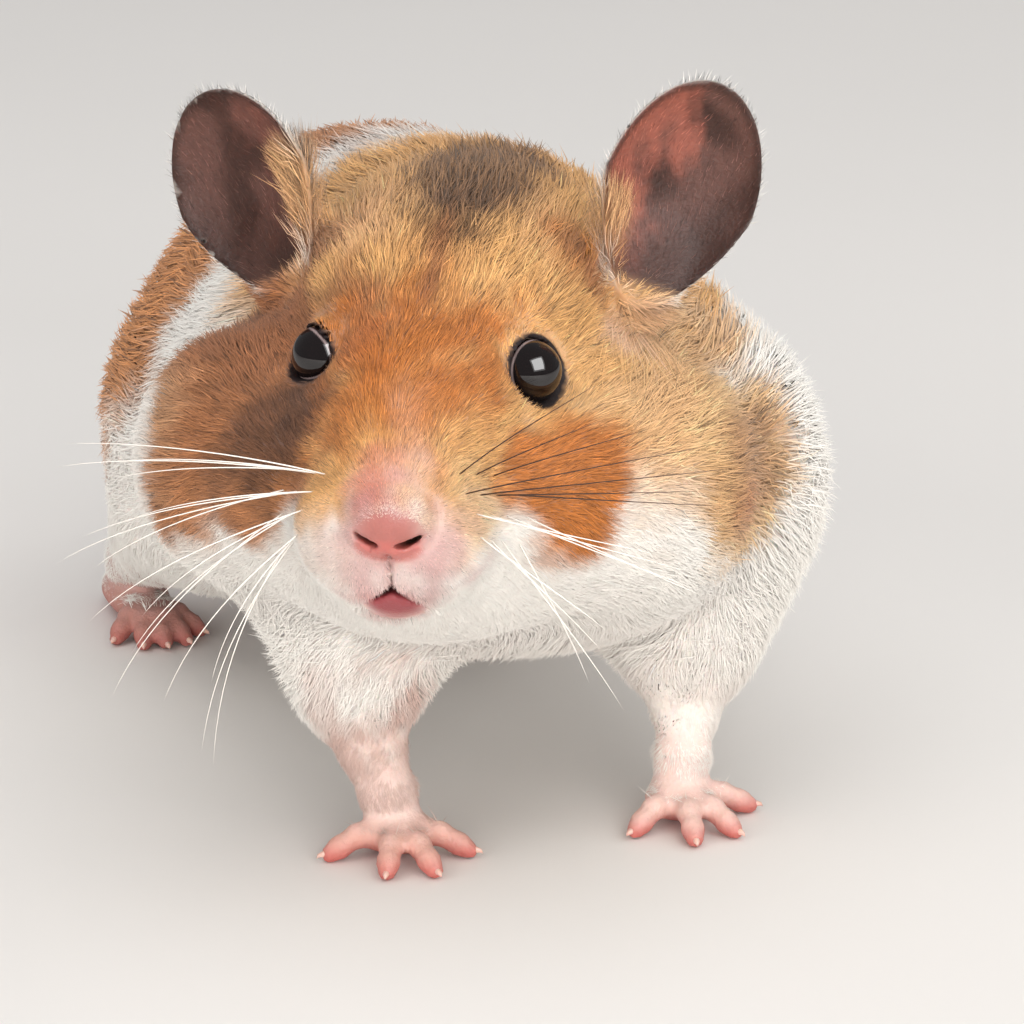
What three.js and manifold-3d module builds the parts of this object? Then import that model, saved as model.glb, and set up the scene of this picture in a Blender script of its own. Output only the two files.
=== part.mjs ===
// A Syrian hamster standing on four feet, with its head turned a little to its right.
// Millimetres, +Z up. The nose points towards -Y and the animal's left side is +X.
// The surface is the tips of the coat. Every solid is cut from one smooth body, which is a
// blend of rounded masses, so that neighbouring parts meet without a step.
import * as THREE from "three";
import { mergeVertices } from "three/addons/utils/BufferGeometryUtils.js";
import Module from "manifold-3d";

const wasm = await Module();
wasm.setup();

// ---------------------------------------------------------------- driving sizes
const GAP = 0.3; // between neighbouring solids
const HEAD_TURN = THREE.MathUtils.degToRad(-27); // about +Z, towards the animal's right
const HEAD_ROLL = THREE.MathUtils.degToRad(2);
const BETWEEN_EYES = new THREE.Vector3(-15.1, -4.2, 52);
const EYE_RADIUS = 3.5;
const EYE_OUT = 9; // from the head's midline to an eyeball's centre
const EYE_BACK = 1.2;
const EYE_DROP = 0.4;
const SWAY = 1.4; // how far the hind part of the spine lies to the left
const EAR_WIDTH = 14.8;
const EAR_CUP = 3.2; // depth of the ear's hollow
// The ears are held differently: the right one leans further out.
const EARS = {
  right: { root: [-15.6, 12.8, 2.4], tip: [-24.8, 17.2, 19.8] },
  left: { root: [17.6, 13, 3.6], tip: [23.8, 18, 23.8] },
};
const TAIL_LENGTH = 12;
const FOREPAW = { out: 14.6, back: 8.3 }; // the middle of the palm
const HINDPAW = { out: 21.5, back: 87 };
const SIDES = [
  { side: "right", sign: -1 },
  { side: "left", sign: 1 },
];

// ---------------------------------------------------------------- the masses of the body
// Each mass is an ellipsoid: its centre, its half sizes, and how softly it joins the rest.
// A mass with paired: true is made on both sides.
const TRUNK_MASSES = {
  chest: { at: [0, 12, 33.5], half: [25, 19, 16.3], soft: 8 },
  right_shoulder: { at: [-16, 18, 33], half: [14, 16, 16.5], soft: 8 },
  left_shoulder: { at: [18, 20, 31.5], half: [15.3, 18, 18.5], soft: 8 },
  withers: { at: [0, 32, 42.7], half: [21, 23, 21], soft: 9 },
  back: { at: [-0.5, 54, 39.5], half: [21, 33, 21.3], soft: 9 },
  ribs: { at: [0.5, 38, 33], half: [29.5, 28, 22.5], soft: 9 },
  belly: { at: [0, 58, 29.5], half: [29, 31, 20.5], soft: 9 },
  rump: { at: [0, 73, 31.5], half: [24, 24, 23.5], soft: 9 },
  haunches: { at: [17.8, 71, 23], half: [12.4, 19, 16.5], soft: 7, paired: true },
  upper_arms: { at: [17, 12, 22], half: [7.5, 8.5, 10], soft: 6, paired: true },
  tail_root: { at: [0, 93, 23], half: [6, 6, 5], soft: 6 },
};
// The head's masses are placed from the point between the eyes, before the head turns.
const HEAD_MASSES = {
  cranium: { at: [0, 12, 0.5], half: [14.3, 15, 11.5], soft: 5 },
  brow: { at: [0, -0.5, -3.5], half: [8.8, 12.5, 9.2], soft: 4 },
  muzzle: { at: [0, -11.5, -9], half: [7.6, 9.2, 6.8], soft: 6 },
  lips: { at: [3.9, -14.4, -12], half: [5, 5.4, 4.9], soft: 2.5, paired: true },
  nose: { at: [0, -19.2, -8.9], half: [3.1, 2.7, 2.7], soft: 2 },
  chin: { at: [0, -10.5, -15.8], half: [6.2, 7.2, 5], soft: 4 },
  cheekbones: { at: [9.5, 1, -11], half: [9, 12, 8.3], soft: 6, paired: true },
  pouches: { at: [17.5, 12, -13.5], half: [12, 15, 12.8], soft: 8, paired: true },
  nape: { at: [0, 25, -2], half: [18, 16, 14.5], soft: 8 },
  throat: { at: [0, 4, -17.5], half: [14, 15, 9.5], soft: 7 },
};
// The coat opens round each eye: how far beyond the eyeball's centre the opening is centred,
// and its radius.
const EYE_OPENING = { beyond: 3.6, radius: 4.6 };
const EYE_AXIS = new THREE.Vector3(0.76, -0.53, 0.38).normalize(); // the left eye's gaze

const headTurn = new THREE.Quaternion().setFromEuler(
  new THREE.Euler(0, HEAD_ROLL, HEAD_TURN, "ZYX"),
);
const toHead = headTurn.clone().invert();

// A point given from between the eyes, in the body's own frame.
function onHead(x, y, z) {
  return new THREE.Vector3(x, y, z).applyQuaternion(headTurn).add(BETWEEN_EYES);
}

// How far the spine lies to the left of the midline, y behind the forepaws' toes.
const sway = (y) => SWAY * THREE.MathUtils.smoothstep(y, 10, 60);

// Every mass with its pair written out.
function bothSides(masses) {
  return Object.values(masses).flatMap((m) =>
    m.paired ? [m, { ...m, at: [-m.at[0], m.at[1], m.at[2]] }] : [m],
  );
}
const headMasses = bothSides(HEAD_MASSES);
const trunkMasses = bothSides(TRUNK_MASSES).map((m) => ({
  ...m,
  at: [m.at[0] + sway(m.at[1]), m.at[1], m.at[2]],
}));

// About how far p lies outside an ellipsoid; negative inside.
function outsideEllipsoid(p, { at, half }) {
  const q = [p.x - at[0], p.y - at[1], p.z - at[2]];
  const near = Math.hypot(...q.map((v, i) => v / half[i]));
  const slope = Math.hypot(...q.map((v, i) => v / half[i] ** 2));
  return slope < 1e-9 ? -Math.min(...half) : (near * (near - 1)) / slope;
}

// Two distances joined with a fillet of size soft.
function join(a, b, soft) {
  const blend = Math.max(soft - Math.abs(a - b), 0) / soft;
  return Math.min(a, b) - (blend * blend * soft) / 4;
}

// About how far p lies outside the whole coat.
function outsideBody(p) {
  const h = p.clone().sub(BETWEEN_EYES).applyQuaternion(toHead);
  const trunk = trunkMasses.reduce((d, m) => join(d, outsideEllipsoid(p, m), m.soft), 1e3);
  const head = headMasses.reduce((d, m) => join(d, outsideEllipsoid(h, m), m.soft), 1e3);
  return join(trunk, head, 6);
}

// ---------------------------------------------------------------- solids from geometry
// A closed geometry as a manifold-3d solid.
function solid(geometry) {
  const bare = geometry.clone();
  bare.deleteAttribute("normal");
  bare.deleteAttribute("uv");
  const merged = mergeVertices(bare, 1e-4);
  return new wasm.Manifold(
    new wasm.Mesh({
      numProp: 3,
      vertProperties: merged.attributes.position.array,
      triVerts: new Uint32Array(merged.index.array),
    }),
  );
}

// A manifold-3d solid as a geometry.
function geometryOf(made) {
  const mesh = made.getMesh();
  const geometry = new THREE.BufferGeometry();
  geometry.setAttribute("position", new THREE.BufferAttribute(mesh.vertProperties, 3));
  geometry.setIndex(new THREE.BufferAttribute(mesh.triVerts, 1));
  const flat = geometry.toNonIndexed();
  flat.computeVertexNormals();
  return flat;
}

// A closed surface from rings of points, with a point at each end. Seen along the way from
// the first ring to the last, each ring runs clockwise.
function skinOver(first, rings, last) {
  const around = rings[0].length;
  const points = [first, ...rings.flat(), last];
  const at = (ring, k) => 1 + ring * around + (k % around);
  const faces = [];
  for (let k = 0; k < around; k++) {
    faces.push(0, at(0, k + 1), at(0, k));
    for (let ring = 0; ring + 1 < rings.length; ring++) {
      const [a, b] = [at(ring, k), at(ring, k + 1)];
      const [c, d] = [at(ring + 1, k), at(ring + 1, k + 1)];
      faces.push(a, b, c, b, d, c);
    }
    faces.push(at(rings.length - 1, k), at(rings.length - 1, k + 1), points.length - 1);
  }
  return new THREE.BufferGeometry().setFromPoints(points).setIndex(faces);
}

// The two directions that span the plane across a curve.
function across(tangent) {
  const side = new THREE.Vector3(0, 0, 1).cross(tangent).normalize();
  return [side, tangent.clone().cross(side)];
}

// A tube threaded on a smooth curve through places. girths holds its half width and half
// depth at each of them, and both ends are rounded off over the share cap of the curve.
function tube(places, girths, { rings = 9, around = 10, cap = 0.15 } = {}) {
  const curve = new THREE.CatmullRomCurve3(places.map((p) => new THREE.Vector3(...p)));
  const girth = new THREE.CatmullRomCurve3(girths.map((g) => new THREE.Vector3(...g, 0)));
  const ringAt = (t) => {
    const toEnd = Math.min(t, 1 - t, cap) / cap;
    const { x: wide, y: deep } = girth
      .getPoint(t)
      .multiplyScalar(Math.sqrt(1 - (1 - toEnd) ** 2));
    const [side, up] = across(curve.getTangent(t));
    return Array.from({ length: around }, (_, k) => {
      const turn = (2 * Math.PI * k) / around;
      return curve
        .getPoint(t)
        .addScaledVector(side, Math.cos(turn) * wide)
        .addScaledVector(up, Math.sin(turn) * deep);
    });
  };
  const steps = Array.from({ length: rings }, (_, i) => (i + 0.5) / rings);
  const stations = steps.map((s) => (1 - Math.cos(Math.PI * s)) / 2);
  return solid(skinOver(curve.getPoint(0), stations.map(ringAt), curve.getPoint(1)));
}

function ellipsoid({ at, half }, { grow = 0, around = 12, high = 8, turn } = {}) {
  const ball = new THREE.SphereGeometry(1, around, high);
  ball.scale(...half.map((h) => h + grow));
  if (turn) ball.applyQuaternion(turn);
  return solid(ball.translate(...at));
}

// Everything on the side of a plane that its normal points to.
function halfSpace(point, normal) {
  const size = 400;
  const turn = new THREE.Quaternion().setFromUnitVectors(
    new THREE.Vector3(0, 0, 1),
    normal.clone().normalize(),
  );
  const block = new THREE.BoxGeometry(size, size, size).translate(0, 0, size / 2);
  return solid(block.applyQuaternion(turn).translate(point.x, point.y, point.z));
}

// ---------------------------------------------------------------- the whole body
// The line that the body's rings are threaded on, from the nose to the root of the tail.
const SPINE = new THREE.CatmullRomCurve3([
  onHead(0, -21.4, -9.2),
  onHead(0, -12, -10.5),
  onHead(0, 2, -8),
  onHead(0, 14, -9),
  new THREE.Vector3(-1.5, 25, 39),
  new THREE.Vector3(sway(45), 45, 36),
  new THREE.Vector3(SWAY, 70, 32),
  new THREE.Vector3(SWAY, 99, 28),
]);

// How far from a point on the spine the coat's surface, grown by extra, is reached.
function reach(from, direction, extra) {
  const p = new THREE.Vector3();
  let far = 0;
  for (let step = 0; step < 80; step++) {
    const outside = outsideBody(p.copy(from).addScaledVector(direction, far)) - extra;
    if (outside > -0.005) break;
    far += Math.max(-outside * 0.8, 0.01);
  }
  return far;
}

// The body as one surface: rings lie close together on the face and wide apart behind.
function wholeBody(extra, headRings = 20, trunkRings = 11, around = 32) {
  const inside = (t) => outsideBody(SPINE.getPointAt(t)) - extra < -0.02;
  let [noseTip, rumpEnd] = [0, 1];
  while (!inside(noseTip)) noseTip += 1e-4;
  while (!inside(rumpEnd)) rumpEnd -= 1e-4;
  const neck = 0.38; // where the head's rings give way to the trunk's, along the spine
  const stations = [];
  for (let i = 1; i <= headRings; i++) {
    const eased = (i / headRings) ** 1.35;
    stations.push(noseTip + (neck - noseTip) * eased);
  }
  for (let i = 1; i <= trunkRings; i++) {
    const eased = Math.sin(((i / (trunkRings + 0.6)) * Math.PI) / 2);
    stations.push(neck + (rumpEnd - neck) * eased);
  }
  const rings = stations.map((t) => {
    const centre = SPINE.getPointAt(t);
    const [side, up] = across(SPINE.getTangentAt(t));
    return Array.from({ length: around }, (_, k) => {
      const turn = (2 * Math.PI * k) / around;
      const out = side.clone().multiplyScalar(Math.cos(turn));
      out.addScaledVector(up, Math.sin(turn));
      return centre.clone().addScaledVector(out, reach(centre, out, extra));
    });
  });
  return solid(skinOver(SPINE.getPointAt(noseTip), rings, SPINE.getPointAt(rumpEnd)));
}

// ---------------------------------------------------------------- eyes and ears
function eyeball(sign, grow = 0) {
  const at = onHead(sign * EYE_OUT, EYE_BACK, -EYE_DROP).toArray();
  return ellipsoid({ at, half: Array(3).fill(EYE_RADIUS) }, { grow, around: 14, high: 8 });
}

// The room that the coat leaves for an eyeball and its lids.
function eyeSocket(sign) {
  const at = new THREE.Vector3(EYE_OUT, EYE_BACK, -EYE_DROP);
  at.addScaledVector(EYE_AXIS, EYE_OPENING.beyond).x *= sign;
  const half = Array(3).fill(EYE_OPENING.radius);
  const opening = ellipsoid({ at: onHead(...at).toArray(), half }, { around: 14, high: 8 });
  return opening.add(eyeball(sign, GAP));
}

// An ear: an oval sheet, cupped towards the front, thicker in the middle than at its rim, on
// a thick stem. Its lowest part is left out, because it would lie inside the head.
function ear(side, sign) {
  const root = onHead(...EARS[side].root);
  const tip = onHead(...EARS[side].tip);
  const facing = new THREE.Vector3(sign * 0.42, -1, 0.12).applyQuaternion(headTurn);
  const up = tip.clone().sub(root).normalize();
  const wide = up.clone().cross(facing).normalize();
  const out = wide.clone().cross(up).normalize();
  const middle = root.clone().lerp(tip, 0.5);
  const [tall, broad] = [root.distanceTo(tip) / 2, EAR_WIDTH / 2];
  const around = 16;
  const pointAt = (share, k, face) => {
    const turn = (2 * Math.PI * k) / around;
    const along = Math.sin(turn) * share;
    const hollow = EAR_CUP * (share ** 2 - 1) - 0.8 * Math.min(along, 0) ** 2;
    const halfThick = 0.3 + 0.5 * (1 - share ** 2);
    return middle
      .clone()
      .addScaledVector(up, along * tall)
      .addScaledVector(wide, Math.cos(turn) * share * (1 + 0.1 * along) * broad)
      .addScaledVector(out, hollow + face * halfThick);
  };
  const ringOf = (share, face) =>
    Array.from({ length: around }, (_, k) => pointAt(share, k, face));
  const shares = [0.45, 0.82, 1];
  const back = shares.map((s) => ringOf(s, -1));
  const front = shares.map((s) => ringOf(s, 1)).reverse();
  const sheet = solid(skinOver(pointAt(0, 0, -1), [...back, ...front], pointAt(0, 0, 1)));
  const turn = new THREE.Quaternion().setFromRotationMatrix(
    new THREE.Matrix4().makeBasis(wide, up, out),
  );
  const at = root.clone().lerp(tip, 0.14).addScaledVector(out, 0.3 - EAR_CUP).toArray();
  const stem = ellipsoid({ at, half: [5.4, 5.6, 2.4] }, { around: 8, high: 6, turn });
  return sheet.add(stem).intersect(halfSpace(root.lerp(tip, 0.08), up));
}

// ---------------------------------------------------------------- legs, paws and tail
// The limbs are given for the left side. root is the share of the body's coat that belongs
// to the leg, and line runs down its middle from inside the body to the paw.
const FORELEG = {
  cutAt: 6.4, // height of the cut between leg and paw
  root: { at: [17.5, 12.5, 21], half: [10.8, 10.5, 12.5] },
  line: [
    [17, 13, 22],
    [16.8, 12.5, 15],
    [16.2, 11, 10.5],
    [15.2, 9, 6.4],
    [FOREPAW.out, FOREPAW.back, 2.8],
  ],
  girths: [
    [7.5, 7.5],
    [7.0, 6.4],
    [4.7, 4.4],
    [3.8, 3.3],
    [3.3, 2.8],
  ],
  palm: { at: [FOREPAW.out, FOREPAW.back - 0.4, 1.9], half: [3.8, 3.5, 2.3] },
  toes: [
    { heading: -58, reach: 7.6 },
    { heading: -8, reach: 8.4 },
    { heading: 26, reach: 7.8 },
    { heading: 87, reach: 7.4 },
  ],
};
const HINDLEG = {
  cutAt: 5.8,
  root: { at: [25, 73, 21], half: [13.5, 18.5, 17] },
  line: [
    [20, 70, 17],
    [20.8, 78, 12],
    [HINDPAW.out, 87, 8],
    [HINDPAW.out, HINDPAW.back + 3.5, 3],
  ],
  girths: [
    [7, 8],
    [6, 7.5],
    [4.5, 5],
    [3.6, 3.7],
  ],
  palm: { at: [HINDPAW.out, HINDPAW.back, 2], half: [3.6, 8.6, 2.4] },
  toes: [
    { heading: -36, reach: 8.2 },
    { heading: -15, reach: 9.6 },
    { heading: 0, reach: 10 },
    { heading: 15, reach: 9.6 },
    { heading: 38, reach: 8.2 },
  ],
};
const TOE_RADIUS = 1.1;

const upward = new THREE.Vector3(0, 0, 1);
const above = (height) => halfSpace(new THREE.Vector3(0, 0, height), upward);
const below = (height) => halfSpace(new THREE.Vector3(0, 0, height), upward.clone().negate());

// A toe that leaves the palm, arches and comes down on the floor. Its heading is measured
// from straight ahead, outwards, in degrees.
function toe(hub, sign, { heading, reach }) {
  const angle = THREE.MathUtils.degToRad(heading);
  const on = (far, z) => [hub[0] + sign * Math.sin(angle) * far, hub[1] - Math.cos(angle) * far, z];
  const places = [on(1.2, 2.2), on(reach * 0.6, 2), on(reach - 1, 0.85), on(reach, 0.75)];
  const girths = [1.15, 1, 0.95, 0.85].map((share) => [TOE_RADIUS * share, TOE_RADIUS * share]);
  return tube(places, girths, { rings: 3, around: 6, cap: 0.25 });
}

// One limb in one piece, with its sole cut flat on the floor.
function limb(plan, sign) {
  const mirrored = ([x, y, z]) => [sign * x, y, z];
  const { at, half } = plan.palm;
  const palm = mirrored(at);
  const hub = [palm[0], palm[1] - Math.max(half[1] - half[0], 0) * 0.8];
  let made = tube(plan.line.map(mirrored), plan.girths, { rings: 6, around: 10, cap: 0.1 });
  made = made.add(ellipsoid({ at: palm, half }, { around: 10, high: 6 }));
  for (const plannedToe of plan.toes) made = made.add(toe(hub, sign, plannedToe));
  return made.intersect(above(0));
}

// ---------------------------------------------------------------- assembly
const COLOURS = {
  fur: new THREE.MeshStandardMaterial({ color: 0xc4854a, roughness: 0.9 }),
  white_fur: new THREE.MeshStandardMaterial({ color: 0xeae0d6, roughness: 0.9 }),
  bare_skin: new THREE.MeshStandardMaterial({ color: 0xd99e8c, roughness: 0.6 }),
  ear_skin: new THREE.MeshStandardMaterial({ color: 0x5d4038, roughness: 0.7 }),
  eye: new THREE.MeshStandardMaterial({ color: 0x0d0808, roughness: 0.05 }),
};
const hamster = new THREE.Group();

function show(name, made, material) {
  const mesh = new THREE.Mesh(geometryOf(made), material);
  mesh.name = name;
  hamster.add(mesh);
}

const body = wholeBody(0);
const clearOfBody = wholeBody(GAP);

let furred = body; // what is left of the body once eyes and legs have their room
for (const { side, sign } of SIDES) {
  show(`eye_${side}`, eyeball(sign), COLOURS.eye);
  furred = furred.subtract(eyeSocket(sign));
  show(`ear_${side}`, ear(side, sign).subtract(clearOfBody), COLOURS.ear_skin);
  for (const [name, plan] of Object.entries({ fore: FORELEG, hind: HINDLEG })) {
    const [x, y, z] = plan.root.at;
    const root = { at: [sign * x, y, z], half: plan.root.half };
    const restOfBody = clearOfBody.subtract(ellipsoid(root));
    const lower = limb(plan, sign);
    const leg = lower.intersect(above(plan.cutAt)).subtract(restOfBody);
    const coat = body.intersect(ellipsoid(root));
    show(`${name}leg_${side}`, leg.add(coat), COLOURS.white_fur);
    show(`${name}paw_${side}`, lower.intersect(below(plan.cutAt - GAP)), COLOURS.bare_skin);
    furred = furred.subtract(ellipsoid(root, { grow: GAP }));
  }
}

const tail = tube(
  [
    [SWAY, 92, 22.5],
    [SWAY, 96 + TAIL_LENGTH * 0.4, 20.5],
    [SWAY, 96 + TAIL_LENGTH, 16],
  ],
  [
    [2.9, 2.7],
    [2.4, 2.2],
    [1.4, 1.3],
  ],
  { rings: 6, around: 8 },
);
show("tail", tail.subtract(clearOfBody), COLOURS.bare_skin);

// The head parts from the neck along a bowl, and the neck from the trunk along a slanting
// plane that passes behind the throat and over the shoulders.
const skull = { at: onHead(0, -1, -1).toArray(), half: [60, 25, 31] };
const bowl = { around: 20, high: 14, turn: headTurn };
const TRUNK_CUT = { through: new THREE.Vector3(0, 29, 50), slant: 0.61, turn: -0.35 };
const forward = new THREE.Vector3(0, -Math.cos(TRUNK_CUT.slant), Math.sin(TRUNK_CUT.slant));
forward.applyAxisAngle(upward, TRUNK_CUT.turn);
const backward = forward.clone().negate();
const trunkFace = TRUNK_CUT.through.clone().addScaledVector(backward, GAP);

show("head", furred.intersect(ellipsoid(skull, bowl)), COLOURS.fur);
const neck = furred.subtract(ellipsoid(skull, { ...bowl, grow: GAP }));
show("neck", neck.intersect(halfSpace(TRUNK_CUT.through, forward)), COLOURS.fur);
show("trunk", furred.intersect(halfSpace(trunkFace, backward)), COLOURS.fur);

// The origin is on the floor under the middle of the bounding box.
const bounds = new THREE.Box3().setFromObject(hamster);
const middle = bounds.getCenter(new THREE.Vector3());
hamster.position.set(-middle.x, -middle.y, 0);

export default hamster;
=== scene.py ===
import math

import bpy
import numpy as np
from mathutils import Matrix, Vector


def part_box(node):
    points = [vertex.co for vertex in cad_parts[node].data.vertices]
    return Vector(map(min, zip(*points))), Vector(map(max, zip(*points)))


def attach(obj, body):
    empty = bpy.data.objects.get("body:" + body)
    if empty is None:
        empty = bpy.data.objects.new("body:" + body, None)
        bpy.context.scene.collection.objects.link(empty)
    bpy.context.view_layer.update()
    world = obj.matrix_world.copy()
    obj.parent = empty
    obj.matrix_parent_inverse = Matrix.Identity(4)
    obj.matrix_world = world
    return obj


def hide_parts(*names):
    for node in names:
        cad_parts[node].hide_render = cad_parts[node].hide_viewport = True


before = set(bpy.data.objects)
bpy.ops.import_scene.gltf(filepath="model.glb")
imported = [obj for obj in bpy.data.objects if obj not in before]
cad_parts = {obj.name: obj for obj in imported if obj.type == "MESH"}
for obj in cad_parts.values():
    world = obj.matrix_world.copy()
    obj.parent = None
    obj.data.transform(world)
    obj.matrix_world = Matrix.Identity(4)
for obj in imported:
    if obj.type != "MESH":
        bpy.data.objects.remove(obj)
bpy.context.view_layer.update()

# A Syrian hamster, life size. Shapes are given in millimetres in the body's own frame: the
# floor at z = 0, the trunk along +y and the animal facing -y, with its left side at +x.
# Points of the head are given in the head's frame, from the point between the eyes. Arrays
# of points have one row each. Everything goes to metres in the frame's place in mesh_object.
MM = 0.001
HEAD_TURN = math.radians(-27)  # towards the animal's right
HEAD_ROLL = math.radians(2)
BETWEEN_EYES = np.array([-15.1, -4.2, 52.0])
EYE_OUT = 9.0  # from the head's midline to an eyeball's centre
EYE_BACK = 1.2
EYE_DROP = 0.4
EYE_GAZE = (0.80, -0.55, 0.22)  # the left one's
BALL_RADIUS = 3.0  # what shows of an eyeball
BALL_AHEAD = 0.55  # along its axis
SWAY = 1.4  # how far the hind part of the spine lies to the left
SIDES = {"left": 1, "right": -1}
dice = np.random.default_rng(11)

# Masses of the trunk, out to the tips of the coat: place, half sizes and how softly each
# joins the ones before it. A paired mass has a twin on the right side.
TRUNK_MASSES = {
    "chest": ((0, 12, 33.5), (25, 19, 16.3), 8),
    "right_shoulder": ((-16, 18, 33), (14, 16, 16.5), 8),
    "left_shoulder": ((18, 20, 31.5), (15.3, 18, 18.5), 8),
    "withers": ((0, 32, 42.7), (21, 23, 21), 9),
    "back": ((-0.5, 54, 39.5), (21, 33, 21.3), 9),
    "ribs": ((0.5, 38, 33), (29.5, 28, 22.5), 9),
    "belly": ((0, 58, 29.5), (29, 31, 20.5), 9),
    "rump": ((0, 73, 31.5), (24, 24, 23.5), 9),
    "haunches": ((17.8, 71, 23), (12.4, 19, 16.5), 7, "paired"),
    "upper_arms": ((17, 12, 22), (7.5, 8.5, 10), 6, "paired"),
    "tail_root": ((0, 93, 23), (6, 6, 5), 6),
}
HEAD_MASSES = {
    "cranium": ((0, 12, 0.5), (14.3, 15, 11.5), 5),
    "brow": ((0, -0.5, -3.5), (8.8, 12.5, 9.2), 4),
    "muzzle": ((0, -11.5, -9), (7.6, 9.2, 6.8), 6),
    "lips": ((3.9, -14.4, -12), (5, 5.4, 4.9), 2.5, "paired"),
    "nose": ((0, -19.2, -8.9), (3.1, 2.7, 2.7), 2),
    "chin": ((0, -10.5, -15.8), (6.2, 7.2, 5), 4),
    "cheekbones": ((9.5, 1, -11), (9, 12, 8.3), 6, "paired"),
    "pouches": ((17.5, 12, -13.5), (12, 15, 12.8), 8, "paired"),
    "nape": ((0, 25, -2), (18, 16, 14.5), 8),
    "throat": ((0, 4, -17.5), (14, 15, 9.5), 7),
}
NECK_SOFT = 6  # how softly the head joins the trunk
TRUNK_DEPTH = 1.5  # of the coat over the skin
FACE_DEPTH = 0.4
CHEEK_DEPTH = 1.3
LEG_DEPTH = 0.7
LEG_SOFT = 5
LIMB_REACH = 32  # how far before and behind its palm a limb is looked for, and how high up
LIMB_TOP = 34

# The limbs, for the left side: the middle line with its radii, the palm and the toes. A
# toe's heading is in degrees from straight ahead, outwards.
FORELEG = {
    "line": [(17, 13, 22), (16.8, 12.5, 15), (16.2, 11, 10.5), (15.2, 9, 6.4), (14.6, 8.3, 3.0)],
    "radii": [6.9, 6.1, 4.1, 3.0, 2.4],
    "palm": {"at": (14.6, 7.7, 2.0), "half": (3.5, 3.3, 1.9)},
    "toes": [(-58, 7.7), (-10, 8.5), (24, 8.1), (84, 7.5)],
}
HINDLEG = {
    "line": [(20, 70, 17), (20.8, 78, 12), (21.5, 86, 7.5), (21.5, 90, 3)],
    "radii": [6.6, 5.8, 4.0, 2.8],
    "palm": {"at": (21.5, 87, 2.1), "half": (3.4, 8.4, 2.1)},
    "toes": [(-36, 8.3), (-15, 9.7), (0, 10.1), (15, 9.7), (38, 8.3)],
}
TOE_RADIUS = 1.05
TOE_SOFT = 0.9
TAIL = {"line": [(1.4, 92, 22.5), (1.4, 100.8, 20.5), (1.4, 107, 16.3)], "radii": [2.5, 2.0, 1.0]}

# The ears, from root to tip in the head's frame.
EARS = {
    "right": {"root": (-15.6, 12.8, 2.4), "tip": (-24.8, 17.2, 19.8)},
    "left": {"root": (17.6, 13, 3.6), "tip": (23.8, 18, 23.8)},
}
EAR_HALF_WIDTH = 7.5
EAR_CUP = 3.2
EAR_HALF_THICKNESS = 0.34
EAR_REACH = 16  # nothing of an ear lies further from its middle
TUFT_TOP = {"right": 0.35, "left": 0.0}  # how high the hair at an ear's inner side goes up

NOSE_MIDDLE = 0.7  # the nose and mouth lie this far to the head's left
NOSE_AND_MOUTH = (0, -18, -12)
NOSE_REACH = 11
MUZZLE_MIDDLE = (NOSE_MIDDLE, -18.5, -12.5)  # of what has the nose's skin
MUZZLE_REACH = 7
EYE_REACH = 7


# ---------------------------------------------------------------- frames
def turned(axis, angle):
    return np.array(Matrix.Rotation(angle, 3, axis))


head_axes = turned("Z", HEAD_TURN) @ turned("Y", HEAD_ROLL)


def on_head(points):
    """Points of the head's frame, in the body's."""
    return np.asarray(points, float) @ head_axes.T + BETWEEN_EYES


def to_head(points):
    return (points - BETWEEN_EYES) @ head_axes


def head_way(vector):
    return np.asarray(vector, float) @ head_axes.T


def eye_centre(side):
    return on_head([SIDES[side] * EYE_OUT, EYE_BACK, -EYE_DROP])


def node_middle(node):
    low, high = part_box(node)
    return (np.array(low) + np.array(high)) / 2


# The frame's place of the body: the CAD eyeballs lie where eye_centre says.
row_shift = (node_middle("eye_left") + node_middle("eye_right")) / 2 / MM - (
    eye_centre("left") + eye_centre("right")
) / 2


# ---------------------------------------------------------------- arithmetic on arrays
def ramp(x, low, high):
    """0 below low, 1 above high and smooth between."""
    share = np.clip((x - low) / (high - low), 0, 1)
    return share * share * (3 - 2 * share)


def mix(a, b, share):
    return a + (b - a) * share


def tint(colours, shade, weight):
    """Lays a shade over colours, each row by its own weight."""
    return mix(colours, shade, weight[:, None])


def unit(vectors):
    return vectors / np.maximum(np.linalg.norm(vectors, axis=-1, keepdims=True), 1e-9)


def distance(points, place):
    return np.linalg.norm(points - place, axis=1)


def ripple(points, size, seed):
    """Soft noise between about -1 and 1, with lumps about size across."""
    waves = np.random.default_rng(seed)
    total = np.zeros(len(points))
    for _ in range(7):
        way = unit(waves.normal(size=3)) * waves.uniform(0.7, 1.9) * math.pi / size
        total += np.sin(points @ way + waves.uniform(0, 2 * math.pi))
    return total / 2.6


def join(a, b, soft):
    """The smooth union of two fields, where inside is negative."""
    overlap = np.maximum(soft - np.abs(a - b), 0) / soft
    return np.minimum(a, b) - overlap * overlap * soft / 4


def carve(a, b, soft):
    """Field a without what lies inside b."""
    return -join(-a, b, soft)


# ---------------------------------------------------------------- fields of the body
def mirrored(place, sign):
    return (sign * place[0], place[1], place[2])


def both_sides(masses):
    """The masses with the twins of the paired ones."""
    made = []
    for at, half, soft, *paired in masses.values():
        made.extend((mirrored(at, sign), half, soft) for sign in ((1, -1) if paired else (1,)))
    return made


def swayed(at, half, soft):
    x, y, z = at
    return (x + SWAY * float(ramp(y, 10, 60)), y, z), half, soft


trunk_masses = [swayed(*mass) for mass in both_sides(TRUNK_MASSES)]
head_masses = both_sides(HEAD_MASSES)


def ellipsoid(points, at, half):
    away = (points - np.array(at, float)) / np.array(half, float)
    near = np.sqrt((away**2).sum(-1))
    slope = np.sqrt(((away / np.array(half, float)) ** 2).sum(-1))
    return near * (near - 1) / np.maximum(slope, 1e-9)


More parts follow.
